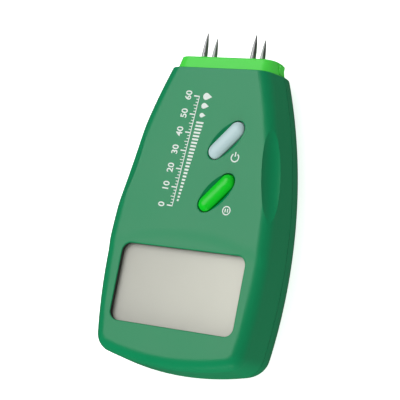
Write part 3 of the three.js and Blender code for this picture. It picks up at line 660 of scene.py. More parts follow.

# The inside wall of the display opening is painted black: painted shade where the opening's wall lies in
# shadow.
front.data.materials.append(black_abs_and_painted_shade)
to_face = ON_FACE.inverted()
near_x, near_y = (half + 0.25 for half in OPENING[:2])
painted_shade_faces = 0
for side in front.data.polygons:
    centre = to_face @ side.center / MM
    along = to_face.to_3x3() @ side.normal
    in_opening = abs(centre.x) < near_x and abs(centre.y - DISPLAY_Y) < near_y and -5 < centre.z < -0.7
    if in_opening and abs(along.z) < 0.5:
        side.material_index = 1
        painted_shade_faces += 1
print("faces of the display opening in black:", painted_shade_faces)

# %% [markdown]
# ## The rear half
# The back rolls under in a long quarter ellipse to the flat it lies on, which makes the meter sit well in a
# palm. The same ring walk makes it, this time downwards. Its hollow, the joint lip, the battery bay, the
# rails for the door and the screw wells are cut and joined at the CAD's sizes, because they show when the
# door is off.

# %% Rear body
DOOR_HALF, DOOR_TOP_Y, DOOR_Z = 17.95, 1.75, (0.25, 1.75)
TONGUE_HALF, TONGUE_FOOT = 19.1, 1.15
SNAP_HALF, SNAP_TOP_Y = 8, 3.2
SLIDE_GAP = 0.2
RAIL_HALF = 20.4
POST_RADIUS, POST_TOP = 3.8, 10.8
WELL_RADIUS, WELL_FLOOR, WELL_EDGE, SHANK_HOLE = 2.9, 4, 0.25, 1.35
BAY = {"half": 16.2, "y": (-47.9, -0.05), "top": 12.9, "wall": 1.2}


def rear_body(inset=0, top_y=CASE_TOP_Y, steps=14):
    """The outline walked down and inwards along a quarter ellipse. Inset follows the wall inwards."""
    across = BACK_INSET - (inset - 0.3 * MM if inset else 0)
    down = PART_Z - inset
    bm = bmesh.new()
    face = outline(bm, inset, TRIM_Y)
    face.normal_flip()
    bmesh.ops.translate(bm, vec=(0, 0, PART_Z), verts=bm.verts[:])
    profile = []
    for i in range(steps + 1):
        turn = math.pi / 2 * i / steps
        profile.append((across * (1 - math.cos(turn)), down * math.sin(turn)))
    rings(bm, face, deltas(profile))
    close(bm)
    trim(bm, top_y)
    return bm


def prism(inset, top_y, low, high):
    """The outline as a straight block between two heights in millimetres."""
    bm = bmesh.new()
    face = outline(bm, inset, top_y)
    return solid(placed(raised(bm, face, [(0, high - low)]), z=low))


rear_mesh = rear_body()
round_end(rear_mesh, CASE_TOP_Y, 1.0 * MM, PART_Z)
rear = solid(rear_mesh, "rear_half")
boolean(rear, solid(rear_body(WALL, CASE_TOP_Y - WALL)))
lip = prism(2.4 * MM, 38 * MM, 8, 12.2)
foot = prism(1.7 * MM, 38 * MM, 8, 10.85)
for band in (lip, foot):
    boolean(band, prism(3.2 * MM, 37 * MM, 7, 13))
    boolean(band, box((-19, 33, 0), (19, 50, 20)))
boolean(lip, foot, "UNION")
boolean(rear, lip, "UNION")
print("rear body with its lip:", len(rear.data.polygons), "faces")

# %% Battery bay, rails and wells
outer = BAY["half"] + BAY["wall"]
low_y, high_y = BAY["y"]
boolean(rear, box((-outer, low_y - BAY["wall"], 1), (outer, high_y + BAY["wall"], BAY["top"] + 1)), "UNION")
rails = box((-RAIL_HALF, -52.5, 1), (RAIL_HALF, 4.6, 3))
boolean(rails, solid(rear_body()), "INTERSECT")
boolean(rear, rails, "UNION")
posts = [turned([(0, 1), (POST_RADIUS, 1), (POST_RADIUS, POST_TOP), (0, POST_TOP)], (x, y, 0), steps=32)
         for x, y in CASE_SCREWS]
posts = joined([solid(post) for post in posts])
boolean(posts, solid(rear_body()), "INTERSECT")
boolean(rear, posts, "UNION")
boolean(rear, box((-BAY["half"], low_y, -1), (BAY["half"], high_y, BAY["top"])))
for half, start_y, far_y, low in ((DOOR_HALF, -80, DOOR_TOP_Y, -1),
                                  (TONGUE_HALF, -80, DOOR_TOP_Y, TONGUE_FOOT - SLIDE_GAP),
                                  (SNAP_HALF, -2, SNAP_TOP_Y, TONGUE_FOOT - SLIDE_GAP)):
    boolean(rear, box((-half - SLIDE_GAP, start_y, low),
                      (half + SLIDE_GAP, far_y + SLIDE_GAP, DOOR_Z[1] + SLIDE_GAP)))
WELL = [(0, -1), (WELL_RADIUS + WELL_EDGE, -1), (WELL_RADIUS + WELL_EDGE, 0), (WELL_RADIUS, WELL_EDGE),
        (WELL_RADIUS, WELL_FLOOR), (SHANK_HOLE, WELL_FLOOR), (SHANK_HOLE, 12), (0, 12)]
wells = [turned(WELL, (x, y, 0), steps=32) for x, y in CASE_SCREWS]
boolean(rear, joined([solid(well) for well in wells]))
boolean(rear, seat())
finish_piece(rear, "rear_case", green_abs, "case", ["rear_shell"], sharp=28)

# %% [markdown]
# ## The pin block
# The block that holds the electrodes is a separate lime moulding: a short head outside the case, a waist that
# the shells grip, and an inner block behind it. The head narrows slightly towards the pins and its top edge
# is rounded. A small rib stands on each end, for a cap to snap over.


# %% Pin block
COLLAR_HALF = (18.5, 6.3)


def block(half_x, half_z, radius, y0, y1, taper=1.0, top_fillet=0.0, steps=5):
    """A rounded block standing along Y between y0 and y1, in millimetres."""
    bm = bmesh.new()
    face = rounded_rectangle(bm, half_x, half_z, radius, segments=12)
    straight = (y1 - y0) - top_fillet
    shrink = half_x * (1 - taper)
    profile = [(0, 0), (shrink, straight)]
    for i in range(1, steps + 1) if top_fillet else ():
        turn = math.pi / 2 * i / steps
        profile.append((shrink + top_fillet * (1 - math.cos(turn)), straight + top_fillet * math.sin(turn)))
    raised(bm, face, deltas(profile))
    stand_up = Matrix.Translation((0, y0 * MM, PART_Z)) @ Matrix.Rotation(-math.pi / 2, 4, "X")
    bmesh.ops.transform(bm, matrix=stand_up, verts=bm.verts[:])
    return solid(bm)


collar = block(*COLLAR_HALF, 5, 42.6, COLLAR_TOP_Y / MM, taper=0.95, top_fillet=0.5)
boolean(collar, block(17.25, 5.05, 3.8, 39.6, 43), "UNION")
boolean(collar, block(17.6, 6.0, 5, 33.5, 40.4), "UNION")
for side in (-1, 1):
    rib = box((side * 17.6 - 0.9, 43.1, 9.6), (side * 17.6 + 0.9, 46.1, 12.4))
    boolean(collar, rib, "UNION")
    for lift in (-3.1, 3.1):
        bore = turned([(0, 30), (1.3, 30), (1.3, 45.3), (1.05, 45.3), (1.05, 46.75), (1.35, 47.1), (1.35, 48),
                       (0, 48)], (0, 0, 0), steps=32)
        lay = Matrix.Translation((side * 9 * MM, 0, PART_Z + lift * MM))
        bmesh.ops.transform(bore, matrix=lay @ Matrix.Rotation(-math.pi / 2, 4, "X"), verts=bore.verts[:])
        boolean(collar, solid(bore))
finish_piece(collar, "pin_block", block_lime, "case", ["pin_collar"])

# %% [markdown]
# ## Electrodes
# Each electrode is a hard steel pin, ground to a long needle point on a centreless grinder. Grinding leaves
# very fine rings round the cone, so the highlight along the pin is drawn out lengthways and breaks up across
# it. Metal takes its look from what it reflects: the pins show the bright side of the studio on the left and
# the dark side on the right.

# %% Ground steel and other metals


def metal(name, colour, roughness, line_mm=0.0, bump_mm=0.0, axis="Y"):
    """A bare metal. `line_mm` is the pitch of the marks its making left across the given axis."""
    material, tree, shader, place = new_material(name)
    set_shader(shader, Metallic=1.0)
    blotch = noise(tree, place, 2.5, 3.0)
    feed(tree, shader, Base_Color=tinted(tree, colour, blotch, 0.9, 1.05),
         Roughness=spread(tree, blotch, roughness * 0.75, roughness * 1.25))
    if line_mm:
        lines = add(tree, "ShaderNodeTexWave", [(place, "Vector")], wave_type="BANDS", bands_direction=axis,
                    Scale=1 / (line_mm * MM) / 3.2, Distortion=1.5, Detail=2.0)
        bump = add(tree, "ShaderNodeBump", [(lines.outputs["Fac"], "Height")], Strength=1.0,
                   Distance=bump_mm * MM)
        feed(tree, shader, Normal=bump.outputs["Normal"])
    return material


# Hardened steel, ground: rings about 0.15 mm apart, drawn coarse enough to show.
ground_steel = metal("Ground hardened steel", "#F4F4F6", 0.52, 0.15, 0.003)
# Cold-headed screw, bright zinc plate: bluish and fairly smooth.
zinc_plate = metal("Zinc-plated steel", "#B4BBC2", 0.34)
# Spring strip and solder tags, nickel plate: slightly warm.
nickel_plate = metal("Nickel-plated strip", "#BDB8AC", 0.28)

ELECTRODES = {"electrode_pin_1": (-9, 3.1), "electrode_pin_2": (-9, -3.1),
              "electrode_pin_3": (9, 3.1), "electrode_pin_4": (9, -3.1)}
NEEDLE_RADIUS, POINT_FULLNESS, POINT_SHARPNESS = 0.95, 1.7, 0.85
foot, tip = COLLAR_TOP_Y / MM + 0.1, TIP_Y / MM
needle = [(0, 29.7), (1.0, 29.7), (1.2, 29.95), (1.2, 45.1), (NEEDLE_RADIUS, 45.3)]
needle += [(NEEDLE_RADIUS * (1 - t ** POINT_FULLNESS) ** POINT_SHARPNESS, foot + (tip - foot) * t)
           for t in (0, 0.15, 0.3, 0.45, 0.6, 0.7, 0.8, 0.88, 0.94, 0.98)]
needle += [(0, tip)]
for node, (x, lift) in ELECTRODES.items():
    pin = turned(needle, (x, 0, PART_Z / MM + lift), "Y", steps=32)
    finish_piece(solid(pin), node + "_ground", ground_steel, "case", [node], sharp=40,
                 weighted=False)

# %% [markdown]
# ## Keys
# The keys are plump capsules. Half of a capsule stands out of its slot, with its crown following most of a
# half circle, and a flange underneath keeps it in. The crown comes from the stadium outline stepped inwards
# along a quarter ellipse.


# %% Keys
KEY_TOP, KEY_BOTTOM, KEY_CROWN = 1.3, -3.3, 1.7
KEY_FLANGE_TOP = -2.0


def key_cap(y, steps=12):
    bm = bmesh.new()
    face = stadium(bm, KEY_HALF, KEY_RADIUS, z=KEY_BOTTOM, steps=24)
    side_top = KEY_TOP - KEY_CROWN
    profile = [(0, KEY_BOTTOM), (0, side_top)]
    for i in range(1, steps + 1):
        turn = math.radians(86) * i / steps
        profile.append((KEY_RADIUS * (1 - math.cos(turn)) * 0.985, side_top + KEY_CROWN * math.sin(turn)))
    cap = solid(on_face(raised(bm, face, deltas(profile)), KEY_X, y, KEY_TURN))
    bm = bmesh.new()
    raised(bm, stadium(bm, KEY_HALF, KEY_RADIUS + 0.9, z=KEY_BOTTOM), [(0, KEY_FLANGE_TOP - KEY_BOTTOM)])
    return boolean(cap, solid(on_face(bm, KEY_X, y, KEY_TURN)), "UNION")


finish_piece(key_cap(KEY_Y["power"]), "power_key_cap", grey_abs, "power_key", ["power_button"])
finish_piece(key_cap(KEY_Y["hold"]), "hold_key_cap", lime_abs, "hold_key", ["hold_button"])

# %% [markdown]
# ## Display
# Behind the opening lie a clear acrylic window, a black frame and the display itself: two glass plates with
# liquid crystal between them over a satin reflector, which gives the warm pale grey of a display that is
# switched off. The reflector is slightly grained, and the polariser on top has a soft gloss. The colours of
# the display and the window are painted lighter from left to right: a painted reflection, the same from every
# side. The window is drawn half opaque in the display's pale colour, as painted light over the shade round
# its edges.

# %% Display materials
# Painted reflection: display and window colours are scaled by the left value at the left and the right value
# at the right.
PAINTED_REFLECTION_LEFT, PAINTED_REFLECTION_RIGHT = 0.88, 1.13


def painted_reflection_across(tree, place, source):
    """Scales a colour from darker at the left side of the display to lighter at the right: a painted
    reflection.
    """
    across = add(tree, "ShaderNodeSeparateXYZ", [(place, "Vector")]).outputs["X"]
    reflection_scale = add(tree, "ShaderNodeMapRange", [(across, "Value")], From_Min=-22 * MM, From_Max=22 * MM,
               To_Min=PAINTED_REFLECTION_LEFT, To_Max=PAINTED_REFLECTION_RIGHT)
    return add(tree, "ShaderNodeVectorMath", [(source, "Vector"), (reflection_scale.outputs["Result"], "Scale")],
               operation="SCALE").outputs["Vector"]


display_face, tree, shader, place = new_material("Reflective liquid-crystal display")
speckle = noise(tree, place, 0.3)
# The display's colour carries the painted reflection, lighter towards the right.
feed(tree, shader, Base_Color=painted_reflection_across(tree, place, two_tone(tree, speckle, "#DCDCCE", "#E4E4D7")),
     Roughness=spread(tree, speckle, 0.32, 0.4))
set_shader(shader, IOR=1.5)

acrylic_with_painted_light, tree, shader, place = new_material("Clear acrylic")
haze = noise(tree, place, 9, 4.0)
# The window's colour carries the same painted reflection.
feed(tree, shader, Base_Color=painted_reflection_across(tree, place, two_tone(tree, haze, "#E2E2D7", "#E6E6DB")),
     Roughness=spread(tree, haze, 0.04, 0.1))
# Half opaque in the display's own pale colour: painted light that covers the shade round the display's edges.
set_shader(shader, Alpha=0.5, IOR=1.49)


# %% Window, frame and display
def plate(half_x, half_y, radius, z, steps):
    """A rounded plate behind the display opening, from height z upwards by steps of (inset, rise)."""
    bm = bmesh.new()
    raised(bm, rounded_rectangle(bm, half_x, half_y, radius, z=z), steps)
    return solid(on_face(bm, 0, DISPLAY_Y))


window = plate(24.3, 14.2, 2, -3.1, [(0, 0.8), (0.1, 0.1)])
finish_piece(window, "display_window", acrylic_with_painted_light, "case", ["lcd_window"])

bezel = plate(25.2, 15.2, 2, -5.6, [(0, 2.3), (0.1, 0.1)])
boolean(bezel, plate(22.75, 12.7, 3, -7, [(0, 5)]))
boolean(bezel, plate(24.1, 13.95, 0.2, -7, [(0, 3.3)]))
finish_piece(bezel, "display_frame", black_abs_and_painted_shade, "case", ["lcd_bezel"])

glass = plate(23.9, 13.75, 0.3, -5.6, [(0, 0.7), (0.02, 0.02), (0, 0.33), (0.1, 0.7), (0.05, 0.05)])
finish_piece(glass, "display_glass", display_face, "case", ["lcd_panel"])

# %% [markdown]
# ## Printing
# The face carries pad-printed white ink. Two small labels belong to the keys. The long print up the left
# side is a plain graduated scale with a wedge that widens from dry to wet and three drops, made up here for
# this model. Ink is a film a few hundredths of a millimetre thick, so the print is flat text and thin bars
# laid just above the face, turned to mesh first so that nothing depends on a font later.

# %% White ink
white_ink, tree, shader, place = new_material("White pad-printing ink")
mottle = noise(tree, place, 0.35)
feed(tree, shader, Base_Color=two_tone(tree, mottle, "#D9E8DE", "#EEF5EF"),
     Roughness=spread(tree, mottle, 0.45, 0.6))
set_shader(shader, IOR=1.5)

INK_Z = 0.03


def text_bmesh(words, height):
    """Flat text as a bmesh, centred, with capitals of the given height in millimetres."""
    curve = bpy.data.curves.new("words", "FONT")
    curve.body = words
    curve.align_x = "CENTER"
    curve.align_y = "CENTER"
    curve.size = height * MM / 0.73
    curve.offset = 0.028 * height * MM
    maker = bpy.data.objects.new("words", curve)
    bpy.context.scene.collection.objects.link(maker)
    graph = bpy.context.evaluated_depsgraph_get()
    mesh = bpy.data.meshes.new_from_object(maker.evaluated_get(graph))
    bm = bmesh.new()
    bm.from_mesh(mesh)
    bpy.data.objects.remove(maker)
    bpy.data.curves.remove(curve)
    bpy.data.meshes.remove(mesh)
    bmesh.ops.remove_doubles(bm, verts=bm.verts[:], dist=1e-7)
    return bm


def bar(x, y, width, height):
    bm = bmesh.new()
    bmesh.ops.create_grid(bm, x_segments=1, y_segments=1, size=0.5)
    bmesh.ops.scale(bm, vec=(width * MM, height * MM, 1), verts=bm.verts[:])
    return placed(bm, x, y)


def ring(x, y, radius, width, start, sweep, steps=24):
    """Part of a flat ring: a short radial edge spun round the centre."""
    bm = bmesh.new()
    ends = [bm.verts.new(((radius + s * width / 2) * MM, 0, 0)) for s in (-1, 1)]
    edge = bm.edges.new(ends)
    bmesh.ops.rotate(bm, cent=(0, 0, 0), matrix=Matrix.Rotation(math.radians(start), 3, "Z"), verts=ends)
    bmesh.ops.spin(bm, geom=ends + [edge], cent=(0, 0, 0), axis=UP, angle=math.radians(sweep), steps=steps,
                   use_duplicate=False)
    bmesh.ops.remove_doubles(bm, verts=bm.verts[:], dist=1e-7)
    return placed(bm, x, y)


def drop(x, y, radius, turn=0.0):
    """A water drop: most of a circle with its two ends drawn to a point."""
    bm = bmesh.new()
    tip = 1.9 * radius
    side = math.degrees(math.acos(radius / tip))
    pen = Pen(bm, (0, tip * MM))
    left = (-radius * math.sin(math.radians(side)) * MM, radius * math.cos(math.radians(side)) * MM)
    pen.line(left)
    pen.arc((0, 0), 360 - 2 * side, 24)
    pen.line((0, tip * MM))
    fill(bm)
    return placed(bm, x, y, turn=turn)


def print_on_face(name, shapes, x=0, y=0, turn=0, body="case"):
    """Joins flat shapes into one film of ink on the face."""
    whole = bmesh.new()
    for shape in shapes:
        mesh = bpy.data.meshes.new("shape")
        shape.to_mesh(mesh)
        shape.free()
        whole.from_mesh(mesh)
        bpy.data.meshes.remove(mesh)
    for f in whole.faces:
        if f.normal.z < 0:
            f.normal_flip()
    bmesh.ops.translate(whole, vec=(0, 0, INK_Z * MM), verts=whole.verts[:])
    return finish_piece(solid(on_face(whole, x, y, turn)), name, white_ink, body,
                        weighted=False)


# %% Key labels
print_on_face("power_symbol", [ring(0, 0, 1.3, 0.42, 125, 290), bar(0, 1.05, 0.42, 1.5)], 12.44, 14.05)
pause_bars = [bar(x, 0, 0.38, 1.15) for x in (-0.42, 0.42)]
print_on_face("hold_symbol", [ring(0, 0, 1.3, 0.36, 0, 360), *pause_bars], 12.95, -2.75)

# %% Moisture scale
scale_shapes = []
SCALE_FROM, SCALE_TO = -3.0, 33.0
TICKS = 36
for i in range(TICKS + 1):
    t = i / TICKS
    long_tick = i % 6 == 0
    reach = 2.0 if long_tick else (1.4 if i % 3 == 0 else 0.9)
    y = SCALE_FROM + (SCALE_TO - SCALE_FROM) * t
    scale_shapes.append(bar(-reach / 2, y, reach, 0.42 if long_tick else 0.26))
    if long_tick:
        scale_shapes.append(placed(text_bmesh(str(i * 10 // 6), 2.3), -4.0, y, turn=math.pi / 2))
scale_shapes.append(bar(0, (SCALE_FROM + SCALE_TO) / 2, 0.3, SCALE_TO - SCALE_FROM + 0.42))
lean = math.radians(-3.5)
print_on_face("moisture_scale", scale_shapes, -6.6, 0, lean)

wedge = []
bars = 24
for i in range(bars):
    t = i / (bars - 1)
    width = 0.7 + 2.0 * t
    wedge.append(bar(width / 2, -1.0 + 25.5 * t, width, 0.62))
for i, size in enumerate((0.75, 0.95, 1.15)):
    wedge.append(drop(1.3, 27.0 + 3.1 * i, size, -math.pi / 2))
print_on_face("moisture_wedge", wedge, -5.4, 0, lean)

# %% [markdown]
# ## Battery door
# The door closes the bay from behind and slides off over the wide end. It is a plate whose outer end follows
# the curved back, with a thin tongue along each side that runs in the rails, a snap tongue at the inner end,
# ribs for the thumb and an arrow that shows which way to push. Cutting the plate out of the rear body's own
# shape makes its end flush with the case.

# %% Door
door = box((-DOOR_HALF, -70, DOOR_Z[0]), (DOOR_HALF, DOOR_TOP_Y, DOOR_Z[1]))
boolean(door, box((-TONGUE_HALF, -50, TONGUE_FOOT), (TONGUE_HALF, DOOR_TOP_Y, DOOR_Z[1])), "UNION")
boolean(door, box((-SNAP_HALF, -3, TONGUE_FOOT), (SNAP_HALF, SNAP_TOP_Y, DOOR_Z[1])), "UNION")
boolean(door, solid(rear_body()), "INTERSECT")
for i in range(5):
    bm = bmesh.new()
    raised(bm, stadium(bm, 7 - 0.6 * i, 0.55), [(0, 1.0)])
    boolean(door, solid(placed(bm, y=-42.45 + 2.2 * i, z=-0.3)))
bm = bmesh.new()
arrow_tip = (0, -49.2)
pen = Pen(bm, Vector(arrow_tip) * MM)
for corner in ((-3.2, -46.2), (3.2, -46.2), arrow_tip):
    pen.line(Vector(corner) * MM)
raised(bm, fill(bm), [(0, 1.0)])
boolean(door, solid(placed(bm, z=-0.5)))
finish_piece(door, "sliding_door", green_abs, "door", ["battery_door"], sharp=28)

# %% [markdown]
# ## Screws
# Four pan-head screws draw the shells together from behind. The cross recess is cut by two thin wedges, and
# the thread is left as a plain shank because it is never seen.


# %% Screws
def screw(x, y, head_z, head_r, head_h, shank_r, tip_z):
    rise = [(head_r * math.sin(a), head_z + head_h * 0.55 * (1 - math.cos(a)))
            for a in (math.radians(d) for d in (20, 40, 60, 78, 90))]
    bm = turned([(0, head_z), *rise, (head_r, head_z + head_h), (shank_r, head_z + head_h),
                 (shank_r, tip_z - 0.8), (shank_r * 0.4, tip_z), (0, tip_z)], (x, y, 0), steps=40)
    head = solid(bm)
    for turn in (0, math.pi / 2):
        bm = bmesh.new()
        bmesh.ops.create_cone(bm, cap_ends=True, segments=4, radius1=0.62 * head_r * MM,
                              radius2=0.2 * head_r * MM, depth=head_h * 0.8 * MM)
        bmesh.ops.rotate(bm, cent=(0, 0, 0), matrix=Matrix.Rotation(math.pi / 4, 3, "Z"), verts=bm.verts[:])
        bmesh.ops.scale(bm, vec=(1.25, 0.3, 1), verts=bm.verts[:])
        bmesh.ops.rotate(bm, cent=(0, 0, 0), matrix=Matrix.Rotation(turn, 3, "Z"), verts=bm.verts[:])
        bmesh.ops.translate(bm, vec=(x * MM, y * MM, (head_z + 0.28 * head_h) * MM), verts=bm.verts[:])
        boolean(head, solid(bm))
    return head


for i, (x, y) in enumerate(CASE_SCREWS, 1):
    finish_piece(screw(x, y, 2.1, 2.5, 1.8, 1.1, 15.5), f"case_screw_{i}_zinc", zinc_plate, "case",
                 [f"case_screw_{i}"], weighted=False)

# %% [markdown]
# ## Cells, springs and contacts
# With the door off, three small cells lie side by side between spring contacts. A cell is a steel can in a
# shrunk plastic jacket, with a copper-coloured band at the positive end, here plain bands of colour along its
# length. A contact spring is wire wound to a cone: a small circle that is spun, pushed along and drawn in, a
# step at a time.

# %% Cells
CELL_PITCH, CELL_Z = 10.7, 7.5
CAN_LENGTH, CELL_LENGTH = 43.6, 44.5


def jacket(name, start, flip):
    """Bands of colour along a cell's length: dark jacket, then a copper band and the bare end."""
    material, tree, shader, place = new_material(name)
    split = add(tree, "ShaderNodeSeparateXYZ", [(place, "Vector")])
    ends = (start, start + CELL_LENGTH) if not flip else (start + CELL_LENGTH, start)
    along = add(tree, "ShaderNodeMapRange", [(split.outputs["Y"], "Value")], From_Min=ends[0] * MM,
                From_Max=ends[1] * MM)
    ramp = add(tree, "ShaderNodeValToRGB", [(along.outputs["Result"], "Fac")])
    ramp.color_ramp.interpolation = "CONSTANT"
    bands = [(0, "#B8BCC0"), (0.02, "#22262B"), (0.70, "#B5713C"), (0.965, "#B8BCC0")]
    while len(ramp.color_ramp.elements) < len(bands):
        ramp.color_ramp.elements.new(0.5)
    for element, (position, colour) in zip(ramp.color_ramp.elements, bands):
        element.position = position
        element.color = linear(colour)
    feed(tree, shader, Base_Color=ramp.outputs["Color"],
         Roughness=spread(tree, noise(tree, place, 6), 0.22, 0.34))
    set_shader(shader, Metallic=0.45)
    return material


for i, column in enumerate((-1, 0, 1), 1):
    flip = column == 0
    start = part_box(f"battery_cell_{i}")[0].y / MM
    profile = [(0, 0), (3.4, 0), (3.6, 0.3), (4.7, 0.3), (5.05, 0.5), (5.2, 0.9), (5.2, CAN_LENGTH - 0.7),
               (5.05, CAN_LENGTH - 0.3), (4.7, CAN_LENGTH), (2.6, CAN_LENGTH - 0.1), (1.9, CAN_LENGTH),
               (1.9, CELL_LENGTH - 0.25), (1.65, CELL_LENGTH), (0, CELL_LENGTH)]
    if flip:
        profile = [(r, CELL_LENGTH - h) for r, h in reversed(profile)]
    cell = turned(profile, (0, 0, 0), "Z", steps=48)
    lay = Matrix.Translation(Vector((column * CELL_PITCH, start, CELL_Z)) * MM)
    bmesh.ops.transform(cell, matrix=lay @ Matrix.Rotation(-math.pi / 2, 4, "X"), verts=cell.verts[:])
    finish_piece(solid(cell), f"cell_{i}_jacketed", jacket(f"Cell jacket {i}", start, flip), "case",
                 [f"battery_cell_{i}"], weighted=False)

# %% Springs
SPRING_WIDE, SPRING_NARROW, SPRING_WIRE = 2.9, 1.8, 0.25
for i, column in enumerate((-1, 0, 1), 1):
    low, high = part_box(f"cell_spring_{i}")
    wide_low = column != 0
    bm = bmesh.new()
    ring_at = bmesh.ops.create_circle(bm, segments=10, radius=SPRING_WIRE * MM, cap_ends=False)["verts"]
    bmesh.ops.rotate(bm, cent=(0, 0, 0), matrix=Matrix.Rotation(math.pi / 2, 3, "X"), verts=ring_at)
    bmesh.ops.translate(bm, vec=(SPRING_WIDE * MM, 0, 0), verts=ring_at)
    turns, parts = 2.5, 60
    length = (high.y - low.y) - 2 * SPRING_WIRE * MM
    last = bm.verts[:] + bm.edges[:]
    for part in range(parts):
        t = part / parts
        made = bmesh.ops.spin(bm, geom=last, cent=(0, 0, 0), axis=UP, angle=2 * math.pi * turns / parts,
                              dvec=(0, 0, length / parts), steps=1, use_duplicate=False)
        last = made["geom_last"]
        verts = [v for v in last if isinstance(v, bmesh.types.BMVert)]
        centre = sum((v.co for v in verts), Vector()) / len(verts)
        reach = Vector((centre.x, centre.y, 0)).length
        wanted = (SPRING_WIDE - (SPRING_WIDE - SPRING_NARROW) * (part + 1) / parts) * MM
        bmesh.ops.translate(bm, vec=Vector((centre.x, centre.y, 0)) * (wanted / reach - 1), verts=verts)
    bmesh.ops.holes_fill(bm, edges=bm.edges[:], sides=0)
    bmesh.ops.recalc_face_normals(bm, faces=bm.faces[:])
    tip = 1 if wide_low else -1
    base = (low.y if wide_low else high.y) + tip * SPRING_WIRE * MM
    lay = Matrix.Translation((column * CELL_PITCH * MM, base, CELL_Z * MM))
    bmesh.ops.transform(bm, matrix=lay @ Matrix.Rotation(-tip * math.pi / 2, 4, "X"), verts=bm.verts[:])
    finish_piece(solid(bm), f"cell_spring_{i}_wound", nickel_plate, "case", [f"cell_spring_{i}"],
                 weighted=False)

# %% [markdown]
# ## Finishes for the parts inside
# The remaining parts are right as the CAD made them: a circuit board, chips, wires, tags and nuts. They keep
# their shapes and get finishes. Each finish wanders between two close colours, in patches as large as that
# material's own grain: fine for moulding epoxy and rubber, long and slow for PVC insulation.


# %% Inside finishes
def plain(name, colour, second, roughness, pattern_mm, **values):
    """A finish that wanders between two close colours, with the same pattern in its roughness."""
    material, tree, shader, place = new_material(name)
    patches = noise(tree, place, pattern_mm, 3.0)
    feed(tree, shader, Base_Color=two_tone(tree, patches, colour, second, ends=(0.35, 0.65)),
         Roughness=spread(tree, patches, roughness - 0.06, roughness + 0.06))
    set_shader(shader, **values)
    return material


solder_mask = plain("Green solder mask on glass laminate", "#15512F", "#1B6239", 0.35, 0.8, IOR=1.5)
silicone = plain("Moulded milky silicone", "#D6D6CF", "#E2E2DC", 0.55, 1.2, IOR=1.41)
carbon_rubber = plain("Carbon-filled rubber", "#18181A", "#232326", 0.75, 0.4)
zebra = plain("Striped contact rubber", "#2E2B29", "#5A564F", 0.7, 0.2)
chip_epoxy = plain("Black moulding epoxy", "#161617", "#202022", 0.55, 0.3)
blue_nylon = plain("Blue moulded nylon", "#24528F", "#2D60A4", 0.45, 1.0)
red_pvc = plain("Red PVC insulation", "#A82126", "#B92B2E", 0.4, 2.0)
black_pvc = plain("Black PVC insulation", "#1B1B1B", "#262626", 0.4, 2.0)
white_pvc = plain("White PVC insulation", "#D2D2D0", "#DFDFDD", 0.4, 2.0)

INSIDE = {
    solder_mask: ["main_board"],
    carbon_rubber: ["power_contact_pill", "hold_contact_pill"],
    zebra: ["zebra_strip_upper", "zebra_strip_lower"],
    chip_epoxy: ["processor_chip", "amplifier_chip"],
    blue_nylon: ["calibration_trimmer"],
    red_pvc: ["positive_lead"],
    black_pvc: ["negative_lead"],
    white_pvc: ["left_pin_wire", "right_pin_wire"],
    zinc_plate: ["board_screw_1", "board_screw_2", "board_screw_3"],
    nickel_plate: ["pin_nut_1", "pin_nut_2", "pin_nut_3", "pin_nut_4", "left_bus_plate", "right_bus_plate",
                   "positive_terminal", "negative_terminal", "upper_link_plate", "lower_link_plate",
                   "filter_capacitor"],
}
for material, nodes in INSIDE.items():
    for node in nodes:
        data = frame["nodes"][node].data
        data.materials.clear()
        data.materials.append(material)
print("inside finishes on", sum(len(n) for n in INSIDE.values()), "nodes")

# %% [markdown]
# ## Silicone domes
# Under each key stands a silicone dome, which buckles when the key is pressed and lifts it again. It is the
# one soft thing in the meter, so it is a piece of its own: a turned cup.

# %% Domes
DOME_TOP, DOME_FOOT = KEY_BOTTOM - 0.1, -6.2
CUP = [(0, DOME_TOP - 0.8), (1.45, DOME_TOP - 0.8), (2.4, DOME_FOOT + 0.5), (2.9, DOME_FOOT),
       (3.7, DOME_FOOT), (3.7, DOME_FOOT + 0.5), (2.9, DOME_FOOT + 0.7), (1.9, DOME_TOP - 0.4),
       (1.7, DOME_TOP), (0, DOME_TOP)]
for name, y in KEY_Y.items():
    dome = finish_piece(solid(on_face(turned(CUP), KEY_X, y)), f"{name}_silicone_dome", silicone, "case",
                        [f"{name}_dome"], weighted=False)
    foot = ON_FACE @ (Vector((KEY_X, y, DOME_FOOT)) * MM)
    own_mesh(dome)

# %% [markdown]
# ## Studio
# The meter lies on a white sweep. A soft panel stands high on the left, so that the face reflects it as a
# broad sheen while the right flank turns away from it and keeps its deep colour. Two fill panels, one past
# the far end and one low at the near end, light the colours but don't show in the gloss. The sweep glows a
# little, as a lit white table does. It is hidden from the light that the pieces gather, and the room stands
# in for it: bright below the horizon for matt surfaces, and almost dark in a gloss.


# %% Floor and lights
def panel(name, location, width, height, watts):
    """A square-on panel whose sides stay along X and Y, turned to face the meter."""
    light = bpy.data.lights.new(name, "AREA")
    light.shape = "RECTANGLE"
    light.size, light.size_y = width, height
    light.energy = watts
    lamp = bpy.data.objects.new(name, light)
    bpy.context.scene.collection.objects.link(lamp)
    lamp.location = location
    way = Vector(location).normalized()
    lamp.rotation_euler = (-math.asin(way.y), math.atan2(way.x, way.z), 0)
    return lamp


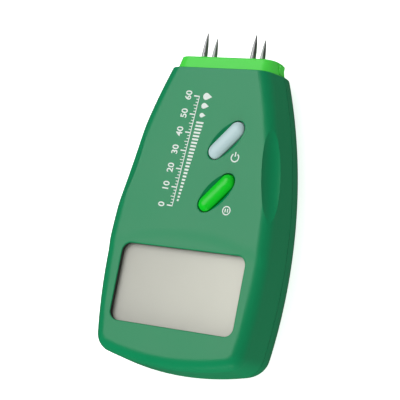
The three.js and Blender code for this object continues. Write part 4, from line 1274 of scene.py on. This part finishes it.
bm = bmesh.new()
bmesh.ops.create_grid(bm, x_segments=8, y_segments=8, size=3)
bmesh.ops.translate(bm, vec=(0, 0, -0.05 * MM), verts=bm.verts[:])
floor = solid(bm, "floor")
white_sweep, tree, shader, place = new_material("White paper sweep")
feed(tree, shader, Base_Color=two_tone(tree, noise(tree, place, 4, 3.0), "#F4F4F4", "#F8F8F8"))
set_shader(shader, Roughness=0.9, Emission_Color=linear("#FFFFFF"), Emission_Strength=0.75)
floor.data.materials.append(white_sweep)
floor.visible_diffuse = False
floor.visible_glossy = False

panel("soft panel, upper left", (-0.42, 0.22, 0.84), 0.5, 0.9, 3.1)
panel("fill panel, far side", (-0.15, 0.5, 0.8), 0.5, 0.5, 2.6).visible_glossy = False
panel("fill panel, near side", (0, -0.85, 0.22), 0.5, 0.5, 4.5).visible_glossy = False

# What the room sends to a matt surface and what shows in a gloss, each as (above, below) the horizon.
ROOM_LIGHT = (0.36, 0.95)
ROOM_GLOSS = (0.02, 0.06)
room = bpy.data.worlds.new("dim room over a white sweep")
room.use_nodes = True
tree = room.node_tree
way = add(tree, "ShaderNodeTexCoord").outputs["Generated"]
height = add(tree, "ShaderNodeSeparateXYZ", [(way, "Vector")]).outputs["Z"]
levels = [add(tree, "ShaderNodeMapRange", [(height, "Value")], From_Min=0.15, From_Max=-0.15, To_Min=above,
              To_Max=below).outputs["Result"] for above, below in (ROOM_LIGHT, ROOM_GLOSS)]
rays = add(tree, "ShaderNodeLightPath").outputs["Is Glossy Ray"]
level = add(tree, "ShaderNodeMix", [(rays, "Factor"), (levels[0], "A"), (levels[1], "B")])
background = tree.nodes["Background"]
background.inputs["Color"].default_value = linear("#FFFFFF")
tree.links.new(level.outputs["Result"], background.inputs["Strength"])
bpy.context.scene.world = room
bpy.context.scene.view_settings.view_transform = "Standard"

# %% [markdown]
# ## Camera
# A long lens from the right of the meter, nearly square to its face, with the camera tilted so that the meter
# leans a little to the right in the frame.

# %% Camera
lens = bpy.data.cameras.new("camera")
lens.sensor_width = 36
lens.lens = 124.0
camera = bpy.data.objects.new("camera", lens)
bpy.context.scene.collection.objects.link(camera)
camera.location = (0.22407, -0.04859, 0.38565)
camera.rotation_euler = [math.radians(a) for a in (12.133, 29.684, 11.142)]
bpy.context.scene.camera = camera

# %% [markdown]
# ## Finish
# The number of pieces placed is printed.

# %% Finish
print("pieces:", len(PLACED))
